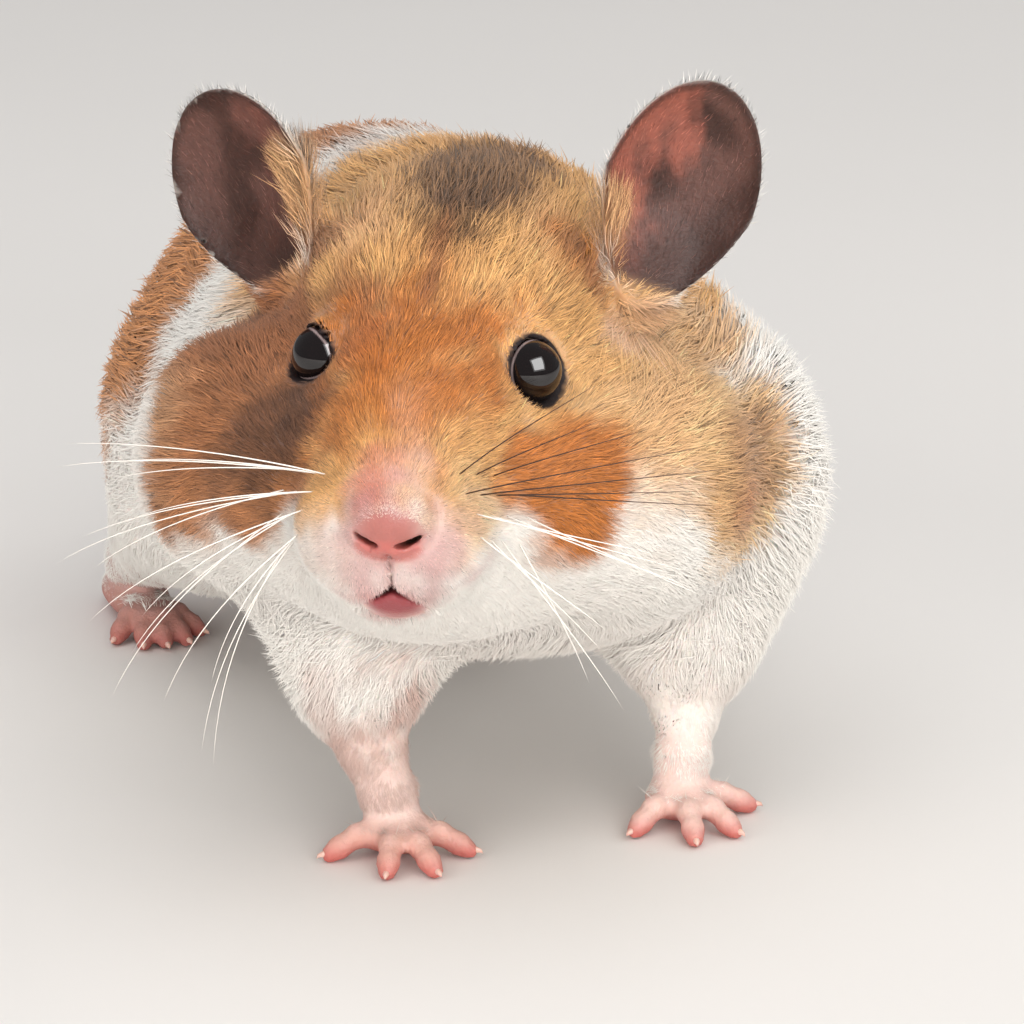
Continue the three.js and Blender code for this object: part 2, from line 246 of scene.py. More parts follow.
def masses_field(points, masses):
    field = np.full(len(points), 1e3)
    for at, half, soft in masses:
        field = join(field, ellipsoid(points, at, half), soft)
    return field


def tapered_line(points, line, radii):
    """A round rod along a broken line, whose radius changes from corner to corner."""
    field = np.full(len(points), 1e3)
    for a, b, wide, narrow in zip(line, line[1:], radii, radii[1:]):
        a, b = np.array(a, float), np.array(b, float)
        share = np.clip((points - a) @ (b - a) / ((b - a) @ (b - a)), 0, 1)
        middle = a + share[:, None] * (b - a)
        rod = distance(points, middle) - mix(wide, narrow, share)
        field = join(field, rod, 0.8)
    return field


def off_tail(points):
    return tapered_line(points, TAIL["line"], TAIL["radii"])


def toe_line(plan, sign, heading, reach):
    """The middle of a toe: it leaves the palm, arches and comes down on the floor."""
    (x, y, _), (wide, long, _) = plan["palm"]["at"], plan["palm"]["half"]
    ahead = max(long - wide, 0) * 0.8
    angle = math.radians(heading)
    places = [(1.2, 2.3), (reach * 0.55, 2.25), (reach * 0.8, 1.35), (reach - 0.5, 0.8)]
    return [
        (sign * (x + math.sin(angle) * far), y - ahead - math.cos(angle) * far, z)
        for far, z in places
    ]


def leg_rod(points, plan, sign):
    line = [mirrored(place, sign) for place in plan["line"]]
    return tapered_line(points, line, plan["radii"])


def limb_field(points, plan, sign, coat):
    """A leg with its paw. The coat's depth is taken off the furred part."""
    field = leg_rod(points, plan, sign) + coat * ramp(points[:, 2], 3.5, 9)
    palm = ellipsoid(points, mirrored(plan["palm"]["at"], sign), plan["palm"]["half"])
    field = join(field, palm, 1.6)
    radii = [TOE_RADIUS * share for share in (1.25, 1.0, 0.92, 0.78)]
    for heading, reach in plan["toes"]:
        toe = tapered_line(points, toe_line(plan, sign, heading, reach), radii)
        field = join(field, toe, TOE_SOFT)
    return field


LIMBS = {
    f"{name}_{side}": (plan, SIDES[side])
    for name, plan in (("fore", FORELEG), ("hind", HINDLEG))
    for side in SIDES
}


def ear_frame(side):
    """The ear's middle, its three axes (across, up and out of its hollow) and half height."""
    root, tip = on_head(EARS[side]["root"]), on_head(EARS[side]["tip"])
    facing = head_way([SIDES[side] * 0.42, -1, 0.12])
    up = unit(tip - root)
    wide = unit(np.cross(up, facing))
    axes = np.array([wide, up, np.cross(wide, up)])
    return (root + tip) / 2, axes, np.linalg.norm(tip - root) / 2


def ear_place(points, side):
    """Where points lie on an ear: along and across it, their share of the way to its rim,
    and the distance to the middle of its sheet."""
    middle, axes, tall = ear_frame(side)
    across, up, out = ((points - middle) @ axes.T).T
    along = np.clip(up / tall, -1.4, 1.4)
    wide = EAR_HALF_WIDTH * (1 + 0.3 * np.minimum(along, 0) - 0.03 * np.maximum(along, 0))
    share = np.hypot(across / wide, up / tall)
    hollow = EAR_CUP * (np.minimum(share, 1.15) ** 2 - 1) - 0.8 * np.minimum(along, 0) ** 2
    return along, across / EAR_HALF_WIDTH, share, out - hollow


def haired_edge(along, inner, side):
    """1 where long hair grows at an ear's inner side."""
    top = TUFT_TOP[side]
    return ramp(inner, 0.25, 0.7) * ramp(along, top, top - 0.5)


def ear_field(points, side, thickness):
    _, _, share, off = ear_place(points, side)
    slope = 2 * EAR_CUP * np.minimum(share, 1) / EAR_HALF_WIDTH
    beyond = np.maximum(share - 0.95, 0) * EAR_HALF_WIDTH
    rounded = thickness * (1 + 1.3 * ramp(share, 0.9, 0.2)) + 0.12 * ramp(share, 0.9, 1.0)
    sheet = np.hypot(off / np.sqrt(1 + slope**2), beyond) - rounded
    middle, axes, tall = ear_frame(side)
    stem = (points - middle - axes[1] * tall * -0.74 - axes[2] * (0.2 - EAR_CUP)) @ axes.T
    return join(sheet, ellipsoid(stem, (0, 0, 0), (5.2, 5.2, 2.2)), 1.6)


def eye_frame(side):
    """The middle of the eyeball that shows, and its axes: the gaze, level and upright."""
    gaze = np.array(EYE_GAZE) / np.linalg.norm(EYE_GAZE)
    axis = head_way(gaze * (SIDES[side], 1, 1))
    level = unit(np.cross(head_way([0, 0, 1]), axis))
    return eye_centre(side) + axis * BALL_AHEAD, np.array([axis, level, np.cross(axis, level)])


# The opening between an eye's lids is cut by an egg this far ahead of the eyeball's middle,
# with these half sizes along the gaze, level and upright. The right eye is narrowed a little.
OPENING_AHEAD = 4.2
OPENING = {"left": (4.9, 4.45, 4.1), "right": (4.9, 4.4, 2.7)}
LID_THICKNESS = 0.3
EYE_MESH = (96, 160)  # rows from front to back, and faces around


def past_lids(points, side):
    """How far points lie outside the opening between an eye's lids."""
    middle, axes = eye_frame(side)
    return ellipsoid((points - middle) @ axes.T, (OPENING_AHEAD, 0, 0), OPENING[side])


def over_ball(points, side):
    return distance(points, eye_frame(side)[0]) - BALL_RADIUS


def with_eye(field, points, side):
    """Lids that hug the eyeball round its opening."""
    ball = over_ball(points, side)
    field = join(field, ball - LID_THICKNESS, 1.2)
    field = carve(field, past_lids(points, side), 0.3)
    return np.maximum(field, -(ball - 0.02))


def by_nose(head, at, half):
    """The field of an egg whose place is counted from the middle of the nose and mouth."""
    return ellipsoid(head - (NOSE_MIDDLE, 0, 0), at, half)


def with_nose(field, head):
    """Nostrils, the groove below them and the mouth."""
    out = np.abs(head[:, 0] - NOSE_MIDDLE)
    y, z = head[:, 1], head[:, 2]
    field = join(field, by_nose(head, (0, -19.4, -9.0), (3.3, 2.6, 2.5)), 1.2)
    field = join(field, by_nose(head, (0, -20.0, -10.9), (1.7, 1.7, 1.0)), 0.8)
    # a nostril is a slit that curves outwards and up
    curve = -10.75 + 0.34 * np.maximum(out - 1.1, 0) ** 1.5
    slit = np.hypot((z - curve) / 0.42, (out - 1.85) / 1.2) - 1
    deep = ramp(y, -18.2, -19.4)
    field = carve(field, np.maximum(slit * 0.42, 0.4 - deep), 0.2)
    groove = np.maximum(out - 0.16, np.maximum(z + 11.6, -16.1 - z))
    field = carve(field, np.maximum(groove, y + 16.5), 0.5)
    # the mouth opens as an upside-down V under the groove
    drop = -15.3 - 0.62 * out - 0.02 * out**2
    gap = np.maximum(np.abs(z - drop + 0.35) - 0.42 * ramp(out, 3.4, 0.2) - 0.06, out - 3.2)
    return carve(field, np.maximum(gap, y + 13.2), 0.4)


def head_depth(head):
    """The coat's depth over the head: thin on the nose, deeper back over the cheeks."""
    depth = mix(FACE_DEPTH, CHEEK_DEPTH, ramp(head[:, 1], -8, 18))
    return depth * mix(0.15, 1, ramp(head[:, 1], -21, -14))


def skin_field(points, ear_thickness=EAR_HALF_THICKNESS):
    """The skin of the whole animal: negative inside, and about a distance outside."""
    head = to_head(points)
    trunk = masses_field(points, trunk_masses) + TRUNK_DEPTH
    field = join(trunk, masses_field(head, head_masses) + head_depth(head), NECK_SOFT)
    for plan, sign in LIMBS.values():
        beside = np.abs(points[:, 1] - plan["palm"]["at"][1]) < LIMB_REACH
        near = beside & (points[:, 2] < LIMB_TOP) & (points[:, 0] * sign > -2)
        field[near] = join(field[near], limb_field(points[near], plan, sign, LEG_DEPTH), LEG_SOFT)
    field = join(field, off_tail(points), 2)
    for side in SIDES:
        near = distance(points, ear_frame(side)[0]) < EAR_REACH
        field[near] = join(field[near], ear_field(points[near], side, ear_thickness), 1.6)
        near = distance(points, eye_centre(side)) < EYE_REACH
        field[near] = with_eye(field[near], points[near], side)
    near = distance(points, on_head(NOSE_AND_MOUTH)) < NOSE_REACH
    field[near] = with_nose(field[near], to_head(points[near]))
    return np.maximum(field, -points[:, 2])


def outward(points, step=0.06, **options):
    """The unit normals of the skin's field, and how fast it grows along them."""
    slopes = np.empty_like(points)
    for axis in range(3):
        shift = np.zeros(3)
        shift[axis] = step
        slopes[:, axis] = skin_field(points + shift, **options)
        slopes[:, axis] -= skin_field(points - shift, **options)
    slopes /= 2 * step
    rate = np.linalg.norm(slopes, axis=1)
    return slopes / np.maximum(rate, 1e-6)[:, None], rate


# ---------------------------------------------------------------- the skin's mesh
def stations(spans):
    """Grid lines: each span is (start, spacing) and runs to the next one's start."""
    lines = []
    for (start, spacing), (end, _) in zip(spans, spans[1:]):
        count = max(1, round((end - start) / spacing))
        lines.extend(start + (end - start) * k / count for k in range(count))
    return np.array(lines + [spans[-1][0]])


GRID = (
    stations([(-42, 1.3), (-33, 0.42), (-19, 0.5), (26, 0.8), (33, 1.3), (42, 0)]),
    stations([
        (-30, 0.4), (-18, 0.5), (-6, 0.55), (18, 1.0), (24, 1.6), (74, 0.8), (98, 1.3), (112, 0)
    ]),
    stations([
        (-1, 0.5), (6, 0.8), (12, 1.3), (28, 0.6), (36, 0.42), (56, 0.6), (60, 0.7), (80, 0)
    ]),
)
BLOCK = 4  # grid points along each side of a block that is skipped where no skin is near
ROUGH_EAR = 0.6  # the ears' half thickness on the grid, too coarse for the real one
MOST_PLACES = 200_000  # in one call


def sampled_field():
    """The field on the grid. Far from the skin it holds only the right sign."""
    sizes = [len(lines) for lines in GRID]
    firsts = [np.arange(0, size, BLOCK) for size in sizes]
    lasts = [np.minimum(first + BLOCK - 1, size - 1) for first, size in zip(firsts, sizes)]
    ends = [(lines[first], lines[last]) for lines, first, last in zip(GRID, firsts, lasts)]
    mids = [(low + high) / 2 for low, high in ends]
    spans = [high - low for low, high in ends]
    centres = np.stack(np.meshgrid(*mids, indexing="ij"), -1)
    extents = np.linalg.norm(np.stack(np.meshgrid(*spans, indexing="ij"), -1), axis=-1)
    coarse = skin_field(centres.reshape(-1, 3), ROUGH_EAR).reshape(extents.shape)
    near = np.abs(coarse) < extents * 0.75 + 1.6
    spread = [np.arange(size) // BLOCK for size in sizes]
    field = np.sign(coarse)[np.ix_(*spread)] * 9.0
    close = np.argwhere(near[np.ix_(*spread)])
    places = np.column_stack([lines[close[:, axis]] for axis, lines in enumerate(GRID)])
    parts = np.array_split(places, 1 + len(places) // MOST_PLACES)
    field[tuple(close.T)] = np.concatenate([skin_field(part, ROUGH_EAR) for part in parts])
    return field


def surface_net(field):
    """A mesh of four-sided faces round the field's inside, one vertex for each grid cell
    that the surface passes through."""
    cells = [size - 1 for size in field.shape]
    quads, places = [], []
    for axis in range(3):
        at = np.argwhere(np.diff(field < 0, axis=axis))
        u, v = (axis + 1) % 3, (axis + 2) % 3
        at = at[(at[:, u] > 0) & (at[:, v] > 0) & (at[:, u] < cells[u]) & (at[:, v] < cells[v])]
        low, high = field[tuple(at.T)], field[tuple((at + np.eye(3, dtype=int)[axis]).T)]
        point = np.column_stack([GRID[k][at[:, k]] for k in range(3)])
        step = GRID[axis][at[:, axis] + 1] - GRID[axis][at[:, axis]]
        point[:, axis] += step * low / (low - high)
        ring = []
        for back_u, back_v in ((1, 1), (0, 1), (0, 0), (1, 0)):
            cell = at.copy()
            cell[:, u] -= back_u
            cell[:, v] -= back_v
            ring.append(np.ravel_multi_index(cell.T, cells))
        ring = np.column_stack(ring)
        ring[low > 0] = ring[low > 0][:, ::-1]
        quads.append(ring)
        places.append(point)
    quads, places = np.concatenate(quads), np.concatenate(places)
    _, corners = np.unique(quads.ravel(), return_inverse=True)
    count = np.bincount(corners)
    vertices = np.column_stack([
        np.bincount(corners, weights=np.repeat(places[:, k], 4)) / count for k in range(3)
    ])
    return vertices, corners.reshape(-1, 4)


PULLS, LONGEST_PULL = 3, 0.5


def pulled_to_skin(vertices):
    """The vertices moved onto the skin, since the grid puts them only near it."""
    for _ in range(PULLS):
        normals, rate = outward(vertices)
        move = skin_field(vertices) / np.maximum(rate, 0.35)
        vertices = vertices - normals * np.clip(move, -LONGEST_PULL, LONGEST_PULL)[:, None]
    return vertices


# ---------------------------------------------------------------- colours
def rgb(red, green, blue):
    """A colour in linear light, from its usual 0 to 255 values."""
    share = np.array([red, green, blue]) / 255
    return np.where(share < 0.04045, share / 12.92, ((share + 0.055) / 1.055) ** 2.4)


WHITE_FUR = rgb(250, 244, 236)
GOLD = rgb(218, 164, 104)
PALE_GOLD = rgb(230, 186, 134)
ORANGE = rgb(186, 112, 52)
DEEP_ORANGE = rgb(186, 104, 50)
BROWN = rgb(150, 96, 62)
RUMP_GOLD = rgb(196, 132, 80)
CHEEK = rgb(178, 119, 76)
DARK = rgb(92, 62, 46)
CREAM = rgb(218, 178, 138)
NOSE_PINK = rgb(170, 104, 96)
BRIDGE_PINK = rgb(206, 146, 110)
MUZZLE_PINK = rgb(200, 158, 154)
# the legs' pink, darkened to stand for shade: partly painted shade
LEG_PINK_AND_SHADE = rgb(210, 175, 163)
GREY_BROWN = rgb(188, 142, 100)
PINK = rgb(216, 168, 154)
PALE_PINK = rgb(232, 202, 192)
DEEP_PINK = rgb(194, 106, 98)
# a deeper pink that stands for the shade on the hind paws
HIND_PINK_IN_SHADE = rgb(154, 96, 88)
LIP = rgb(148, 66, 70)
LIP_EDGE = rgb(198, 138, 132)
# painted shade for the right side of the muzzle
MUZZLE_PAINTED_SHADE = rgb(206, 186, 174)
MOUTH_DARK = rgb(92, 40, 38)
TAN = rgb(226, 176, 124)
BLOND = rgb(228, 176, 126)
EAR_GREY = rgb(94, 63, 55)
EAR_DARK = rgb(62, 38, 31)
EAR_PINK = rgb(156, 90, 74)
LID = rgb(30, 20, 20)
EYE_DARK = rgb(16, 9, 9)
EYE_RIM_HIGHLIGHT = rgb(196, 172, 170)

# The coat's markings, laid over white in this order: middle, half sizes, how soft the edge
# is as a share of the size, the colour and its strength. They are in the head's frame, but
# for those that end in "body".
MARKS = (
    # the golden rump, and the white band in front of it is what no mark covers
    ((-3, 92, 40), (36, 42, 27), 0.08, RUMP_GOLD, 1.0, "body"),
    ((-2, 86, 60), (12, 30, 12), 0.6, BROWN, 0.5, "body"),
    # the golden top of the head and face, down to the cheeks and the muzzle
    ((0, 22, 5), (32, 33, 15), 0.10, GOLD, 1.0),
    ((0.5, -11, -3), (12.5, 13, 8.6), 0.2, GOLD, 1.0),
    ((6.5, -17, -7.5), (5, 5, 4), 0.7, PALE_GOLD, 0.7),
    ((19, 6, -1), (16, 15, 8), 0.25, GOLD, 1.0),
    ((19.5, 10, -1.5), (5, 12, 4.5), 0.7, PALE_GOLD, 0.5),
    ((26, 28, 3), (8, 14, 7), 0.35, CREAM, 1.0),
    ((24, 5, -7), (6, 11, 7), 0.4, TAN, 0.6),
    ((23, 5, -6), (6, 12, 6), 0.6, CREAM, 0.3),
    # the left cheek: an orange patch below the eye, and a browner band further back
    ((14.8, -7, -7.2), (6.2, 8, 5.0), 0.25, ORANGE, 1.0),
    ((16.0, -7, -11), (3.2, 8, 4.6), 0.35, ORANGE, 1.0),
    ((15.5, -8, -13.5), (3.2, 6, 2.8), 0.6, ORANGE, 0.6),
    ((29, 14, -9), (6.0, 14, 12.5), 0.2, PALE_GOLD, 1.0),
    ((30.5, 15, -9), (4.2, 11, 9), 0.4, GREY_BROWN, 1.0),
    ((28.5, 9, -10), (3.2, 7, 6), 0.5, GREY_BROWN, 0.8),
    ((31, 8, -14.5), (2.5, 5, 3), 0.5, DEEP_ORANGE, 0.5),
    ((18.5, 12, 1.5), (3.0, 4, 2.5), 0.7, PALE_PINK, 0.4),
    # the right cheek: brown, dark below and before the eye, and tan behind it
    ((-24, 31, -2), (7, 9, 5), 0.5, TAN, 0.8),
    ((-20, 6, -7), (12.6, 16, 13.2), 0.14, CHEEK, 1.0),
    ((-13, -5, -8), (9, 9, 8.5), 0.14, CHEEK, 1.0),
    ((-22, 4, -4), (12, 16, 11), 0.5, BROWN, 0.5),
    ((-13.5, -6.5, -6.0), (6.8, 7, 5.6), 0.6, DARK, 0.8),
    ((-9.8, -8, -4.5), (3.0, 6, 5.5), 0.6, DARK, 0.75),
    ((-26, 4.5, -7), (3.5, 8, 5), 0.7, CREAM, 0.35),
    ((-18.5, 6, -0.8), (6.5, 8, 4.5), 0.6, BROWN, 0.8),
    ((-30, 7, -14), (4.2, 11, 7.5), 0.35, WHITE_FUR, 0.95),
    ((-7.5, -1, 4.5), (4, 6, 4.5), 0.6, BROWN, 0.75),
    ((-16, 6, 3), (4, 8, 5), 0.6, BROWN, 0.6),
    # blond hair at the inner side of each ear
    ((-9, 14, 11), (5.5, 7, 7), 0.6, BLOND, 0.8),
    ((10, 14, 12), (4, 6, 6), 0.6, BLOND, 0.4),
    ((11, 13, 8.5), (4, 4, 4), 0.6, ORANGE, 0.7),
    # between the eyes and on the sides of the muzzle
    ((0, -5, 3), (8, 8, 5), 0.6, ORANGE, 1.0),
    ((0, -11, -1), (5.5, 7, 5), 0.6, ORANGE, 0.8),
    ((0, 3, 9), (3.0, 9, 5), 0.7, ORANGE, 0.3),
    ((-5, -4, 3.5), (3.5, 6, 4), 0.7, DEEP_ORANGE, 0.6),
    ((-6, -13.5, -4.8), (3.5, 6, 4.5), 0.6, ORANGE, 0.7),
    ((-5.8, -15.5, -8.2), (2.8, 5, 3.2), 0.6, GOLD, 0.85),
    # the pink of the nose, which shows through up the bridge and round the mouth
    ((0.9, -15.5, -4.2), (2.3, 5, 4.0), 0.8, BRIDGE_PINK, 0.6),
    ((0.7, -20.8, -9.1), (2.9, 3.6, 3.1), 0.9, NOSE_PINK, 1.0),
    ((-1.6, -19.5, -6.6), (1.9, 3.5, 2.6), 0.8, DEEP_PINK, 0.55),
    ((1.2, -18.5, -6.0), (1.7, 4, 2.1), 0.9, PALE_PINK, 0.3),
    ((0.7, -18.5, -12.6), (5.4, 7, 4.0), 0.7, MUZZLE_PINK, 0.85),
    ((4.4, -18, -11.5), (2.6, 5, 2.6), 0.7, MUZZLE_PINK, 0.35),
    # painted shade: a greyer patch on the right side of the muzzle
    ((-5.2, -18.5, -12.6), (2.6, 4, 3), 0.7, MUZZLE_PAINTED_SHADE, 0.6),
    ((0.9, -16, -17.4), (3.4, 5, 2.6), 0.6, LIP_EDGE, 0.8),
    # skin shows pink through the thin hair of the lower legs; the right foreleg's much stronger
    # mark is also painted shade
    ((-15, 9, 5), (8, 9, 12), 0.6, LEG_PINK_AND_SHADE, 0.9, "body"),
    ((15, 9, 5), (8, 9, 10), 0.6, LEG_PINK_AND_SHADE, 0.15, "body"),
    # the dark nape and its stripe
    ((0.3, 29, 12.5), (6.8, 20, 7), 0.35, DARK, 0.75),
    ((0.3, 10, 12), (3, 8, 4), 0.7, DARK, 0.5),
    ((0.2, 2, 9.5), (0.8, 6, 4), 0.8, BROWN, 0.7),
)


def mark_weight(places, middle, half, edge, seed):
    away = np.linalg.norm((places - np.array(middle)) / np.array(half), axis=1)
    ragged = 0.5 * edge * ripple(places, 5.0, seed) + 0.25 * edge * ripple(places, 1.8, seed + 50)
    return ramp(away + ragged, 1 + edge, 1 - edge)


def coat_colour(points):
    head = to_head(points)
    colour = np.tile(WHITE_FUR, (len(points), 1))
    for seed, (middle, half, edge, shade, strength, *on_body) in enumerate(MARKS):
        places = points if on_body else head
        colour = tint(colour, shade, strength * mark_weight(places, middle, half, edge, seed))
    return colour


def skin_colour(points):
    """Bare skin in pinks, the lids and ears dark, and what the coat hides close to it. Painted
    shade darkens the nostrils, the hind paws and, more than the others, the paws of the right
    side.
    """
    head = to_head(points)
    left, along, up = points.T
    _, back, high = head.T
    out = np.abs(head[:, 0] - NOSE_MIDDLE)
    # painted shade: the paws of the animal's right side take more of the deeper pink, those of
    # its left side less
    paw = tint(PALE_PINK, PINK, ramp(up, 4.5, 2.6) * mix(1, 0.45, ramp(left, -5, 5)))
    paw = tint(paw, DEEP_PINK, ramp(up, 2.8, 0.4))
    # painted shade: the hind paws darkened
    paw = tint(paw, HIND_PINK_IN_SHADE, 0.6 * ramp(along, 40, 60))
    tail = ramp(off_tail(points), 0.8, 0.3)
    nose = ramp(by_nose(head, (0, -19.8, -9.2), (3.2, 3.4, 3.1)), 1.0, -0.8)
    lip = ramp(by_nose(head, (0, -15.6, -17.0), (3.0, 3.6, 2.1)), 0.9, -0.9)
    gap = ramp(high, -16.9, -15.4) * ramp(lip, 0.2, 0.6) * ramp(back, -17.5, -15.5)
    edge = ramp(by_nose(head, (0, -20.6, -11.3), (2.9, 2.2, 1.3)), 0.5, -0.2)
    nostril = np.hypot((high + 10.6) / 0.8, (out - 1.85) / 1.5)
    # painted shade: the inside of the nostrils' slits near black
    nostril_shade = ramp(back, -20.2, -19.2) * ramp(nostril, 1.0, 0.6) * ramp(back, -16, -17)
    colour = mix(coat_colour(points) * 0.95, PALE_PINK, 0.15)
    for shade, weight in (
        (paw, ramp(up, 11, 6)),
        (PALE_PINK, tail * ramp(along, 95, 99)),
        (NOSE_PINK, nose),
        (LIP, lip),
        (MOUTH_DARK, 0.85 * gap),
        (DEEP_PINK, 0.7 * edge),
        (DARK * 0.3, nostril_shade),
    ):
        colour = tint(colour, shade, weight)
    for side in SIDES:
        rim = ramp(past_lids(points, side), 0.95, 0.45) * ramp(over_ball(points, side), 1.2, 0.7)
        colour = ear_coloured(tint(colour, LID, rim), points, side)
    return colour


def ear_coloured(colour, points, side):
    """Dark grey-brown ears, mottled, with pink towards the crown in the left one's hollow and
    a fine pale rim."""
    along, across, share, off = ear_place(points, side)
    inner = -across * SIDES[side]
    spots = ripple(points, 3.2, 31) + 0.6 * ripple(points, 1.4, 32)
    pink = ramp(inner + 0.2 * spots, -0.05, 0.6) * {"left": 0.9, "right": 0.25}[side]
    pink = pink * ramp(off, -0.1, 0.1) * ramp(along, -0.95, -0.6)
    shade = tint(EAR_GREY, EAR_DARK, ramp(ripple(points, 3.0, 33), -0.8, 0.6))
    shade = tint(shade, EAR_PINK, pink)
    low = ramp(along + 0.5 * inner, 0.1, -0.7) * ramp(off, -0.1, 0.1)
    shade = tint(shade, EAR_DARK * {"left": 0.9, "right": 0.7}[side], 0.7 * low)
    shade = tint(shade, EAR_DARK * 0.6, ramp(share, 0.9, 0.96) * 0.7)
    shade = tint(shade, WHITE_FUR, ramp(share, 0.995, 1.02) * 0.8)
    shade = tint(shade, tuft_shade(along), 0.8 * haired_edge(along, inner, side))
    there = ramp(share, 1.2, 1.1) * ramp(np.abs(off), 2.6, 1.6) * ramp(along, -1.0, -0.75)
    return tint(colour, shade, there)


def tuft_shade(along):
    """The hair at an ear's inner side: brown at its foot and blond higher up."""
    return tint(BROWN, BLOND * 0.9, ramp(along, -0.9, -0.2))


# ---------------------------------------------------------------- meshes and materials
def placed(name, data):
    """A new object in the scene."""
    made = bpy.data.objects.new(name, data)
    bpy.context.scene.collection.objects.link(made)
    return made


def fill(rows, name, values, kind=np.float32):
    rows.foreach_set(name, np.asarray(values, kind).ravel())


def mesh_object(name, vertices, faces, colours=None, normals=None, uv=None, smooth=True):
    """An object from arrays: vertices in millimetres of the body's frame, and faces as rows
    of vertex numbers, in one array or in several of different widths."""
    mesh = bpy.data.meshes.new(name)
    mesh.vertices.add(len(vertices))
    fill(mesh.vertices, "co", (vertices + row_shift) * MM)
    groups = faces if isinstance(faces, tuple) else (faces,)
    loops = np.concatenate([group.ravel() for group in groups])
    sizes = np.concatenate([np.full(len(group), group.shape[1]) for group in groups])
    mesh.loops.add(len(loops))
    fill(mesh.loops, "vertex_index", loops, np.int32)
    mesh.polygons.add(len(sizes))
    fill(mesh.polygons, "loop_start", np.cumsum(sizes) - sizes, np.int32)
    fill(mesh.polygons, "loop_total", sizes, np.int32)
    mesh.update(calc_edges=True)
    if colours is not None:
        layer = mesh.color_attributes.new("Coat", "FLOAT_COLOR", "POINT")
        fill(layer.data, "color", np.column_stack([colours, np.ones(len(colours))]))
    if uv is not None:
        fill(mesh.uv_layers.new(name="OFBake").data, "uv", uv[loops])
    fill(mesh.polygons, "use_smooth", np.full(len(sizes), smooth), bool)
    if normals is not None:
        mesh.normals_split_custom_set_from_vertices(normals.astype(np.float32))
    return placed(name, mesh)


def capped_tube(rings, around):
    """A tube's faces: four-sided between its rings, then three-sided from its end rings to
    the two points that follow them."""
    index = np.arange(rings * around).reshape(rings, around)
    after = np.roll(index, -1, axis=1)
    sides = np.stack([index[:-1], index[1:], after[1:], after[:-1]], -1).reshape(-1, 4)
    first, last = np.full(around, index.size), np.full(around, index.size + 1)
    caps = [(first, index[0], after[0]), (last, after[-1], index[-1])]
    return sides, np.concatenate([np.column_stack(cap) for cap in caps])


def principled(name, **settings):
    """A new material, its node tree and its shader, with settings such as Sheen_Weight."""
    material = bpy.data.materials.new(name)
    material.use_nodes = True
    tree = material.node_tree
    shader = tree.nodes["Principled BSDF"]
    for key, value in settings.items():
        shader.inputs[key.replace("_", " ")].default_value = value
    return material, tree, shader


def node(tree, kind, **settings):
    made = tree.nodes.new(kind)
    for key, value in settings.items():
        if key in made.inputs:
            made.inputs[key].default_value = value
        else:
            setattr(made, key, value)
    return made


def noise(tree, scale, detail=3.0, roughness=0.55):
    """Object-space noise whose lumps are about 1 / scale metres across."""
    place = node(tree, "ShaderNodeTexCoord")
    made = node(tree, "ShaderNodeTexNoise", Scale=scale, Detail=detail, Roughness=roughness)
    tree.links.new(place.outputs["Object"], made.inputs["Vector"])
    return made.outputs["Fac"]


def between(tree, value, low, high):
    """A value from 0 to 1, moved to the range from low to high."""
    made = node(tree, "ShaderNodeMapRange")
    made.inputs["To Min"].default_value = low
    made.inputs["To Max"].default_value = high
    tree.links.new(value, made.inputs["Value"])
    return made.outputs["Result"]


def roughened(tree, shader, value, low, high):
    tree.links.new(between(tree, value, low, high), shader.inputs["Roughness"])


def two_toned(tree, shader, value, first, second):
    """A colour that goes from one to another with a value from 0 to 1."""
    tone = node(tree, "ShaderNodeMix", data_type="RGBA")
    tone.inputs["A"].default_value = (*rgb(*first), 1)
    tone.inputs["B"].default_value = (*rgb(*second), 1)
    tree.links.new(value, tone.inputs["Factor"])
    tree.links.new(tone.outputs["Result"], shader.inputs["Base Color"])


def bump(tree, shader, height, strength, distance):
    made = node(tree, "ShaderNodeBump", Strength=strength, Distance=distance)
    tree.links.new(height, made.inputs["Height"])
    tree.links.new(made.outputs["Normal"], shader.inputs["Normal"])


def painted(tree, shader, value, low, high):
    """The vertex colours, made darker and lighter by a value from 0 to 1."""
    colours = node(tree, "ShaderNodeVertexColor", layer_name="Coat")
    shade = node(tree, "ShaderNodeHueSaturation")
    tree.links.new(colours.outputs["Color"], shade.inputs["Color"])
    tree.links.new(between(tree, value, low, high), shade.inputs["Value"])
    tree.links.new(shade.outputs["Color"], shader.inputs["Base Color"])


def fur_material(name, roughness):
    material, tree, shader = principled(
        name, Specular_IOR_Level=0.25, Sheen_Weight=0.15, Sheen_Roughness=0.5
    )
    painted(tree, shader, noise(tree, 900), 0.86, 1.12)
    roughened(tree, shader, noise(tree, 400), roughness - 0.07, roughness + 0.1)
    return material


def skin_material(name, roughness, scale, strength, distance, gloss):
    material, tree, shader = principled(
        name, Specular_IOR_Level=gloss, Subsurface_Weight=0.15, Subsurface_Scale=0.001
    )
    painted(tree, shader, noise(tree, scale * 0.4), 0.88, 1.1)
    roughened(tree, shader, noise(tree, scale), roughness - 0.1, roughness + 0.1)
    bump(tree, shader, noise(tree, scale, detail=5.0), strength, distance)
    return material


def eye_material():
    """Near black and wet, with a pale line at its rim: partly the eyeball's own pale rim, partly
    a painted highlight of its wet edge.
    """
    material, tree, shader = principled("eye", IOR=1.65)
    painted(tree, shader, noise(tree, 700), 0.7, 1.3)
    roughened(tree, shader, noise(tree, 300), 0.02, 0.06)
    bump(tree, shader, noise(tree, 900), 0.02, 0.0001)
    return material


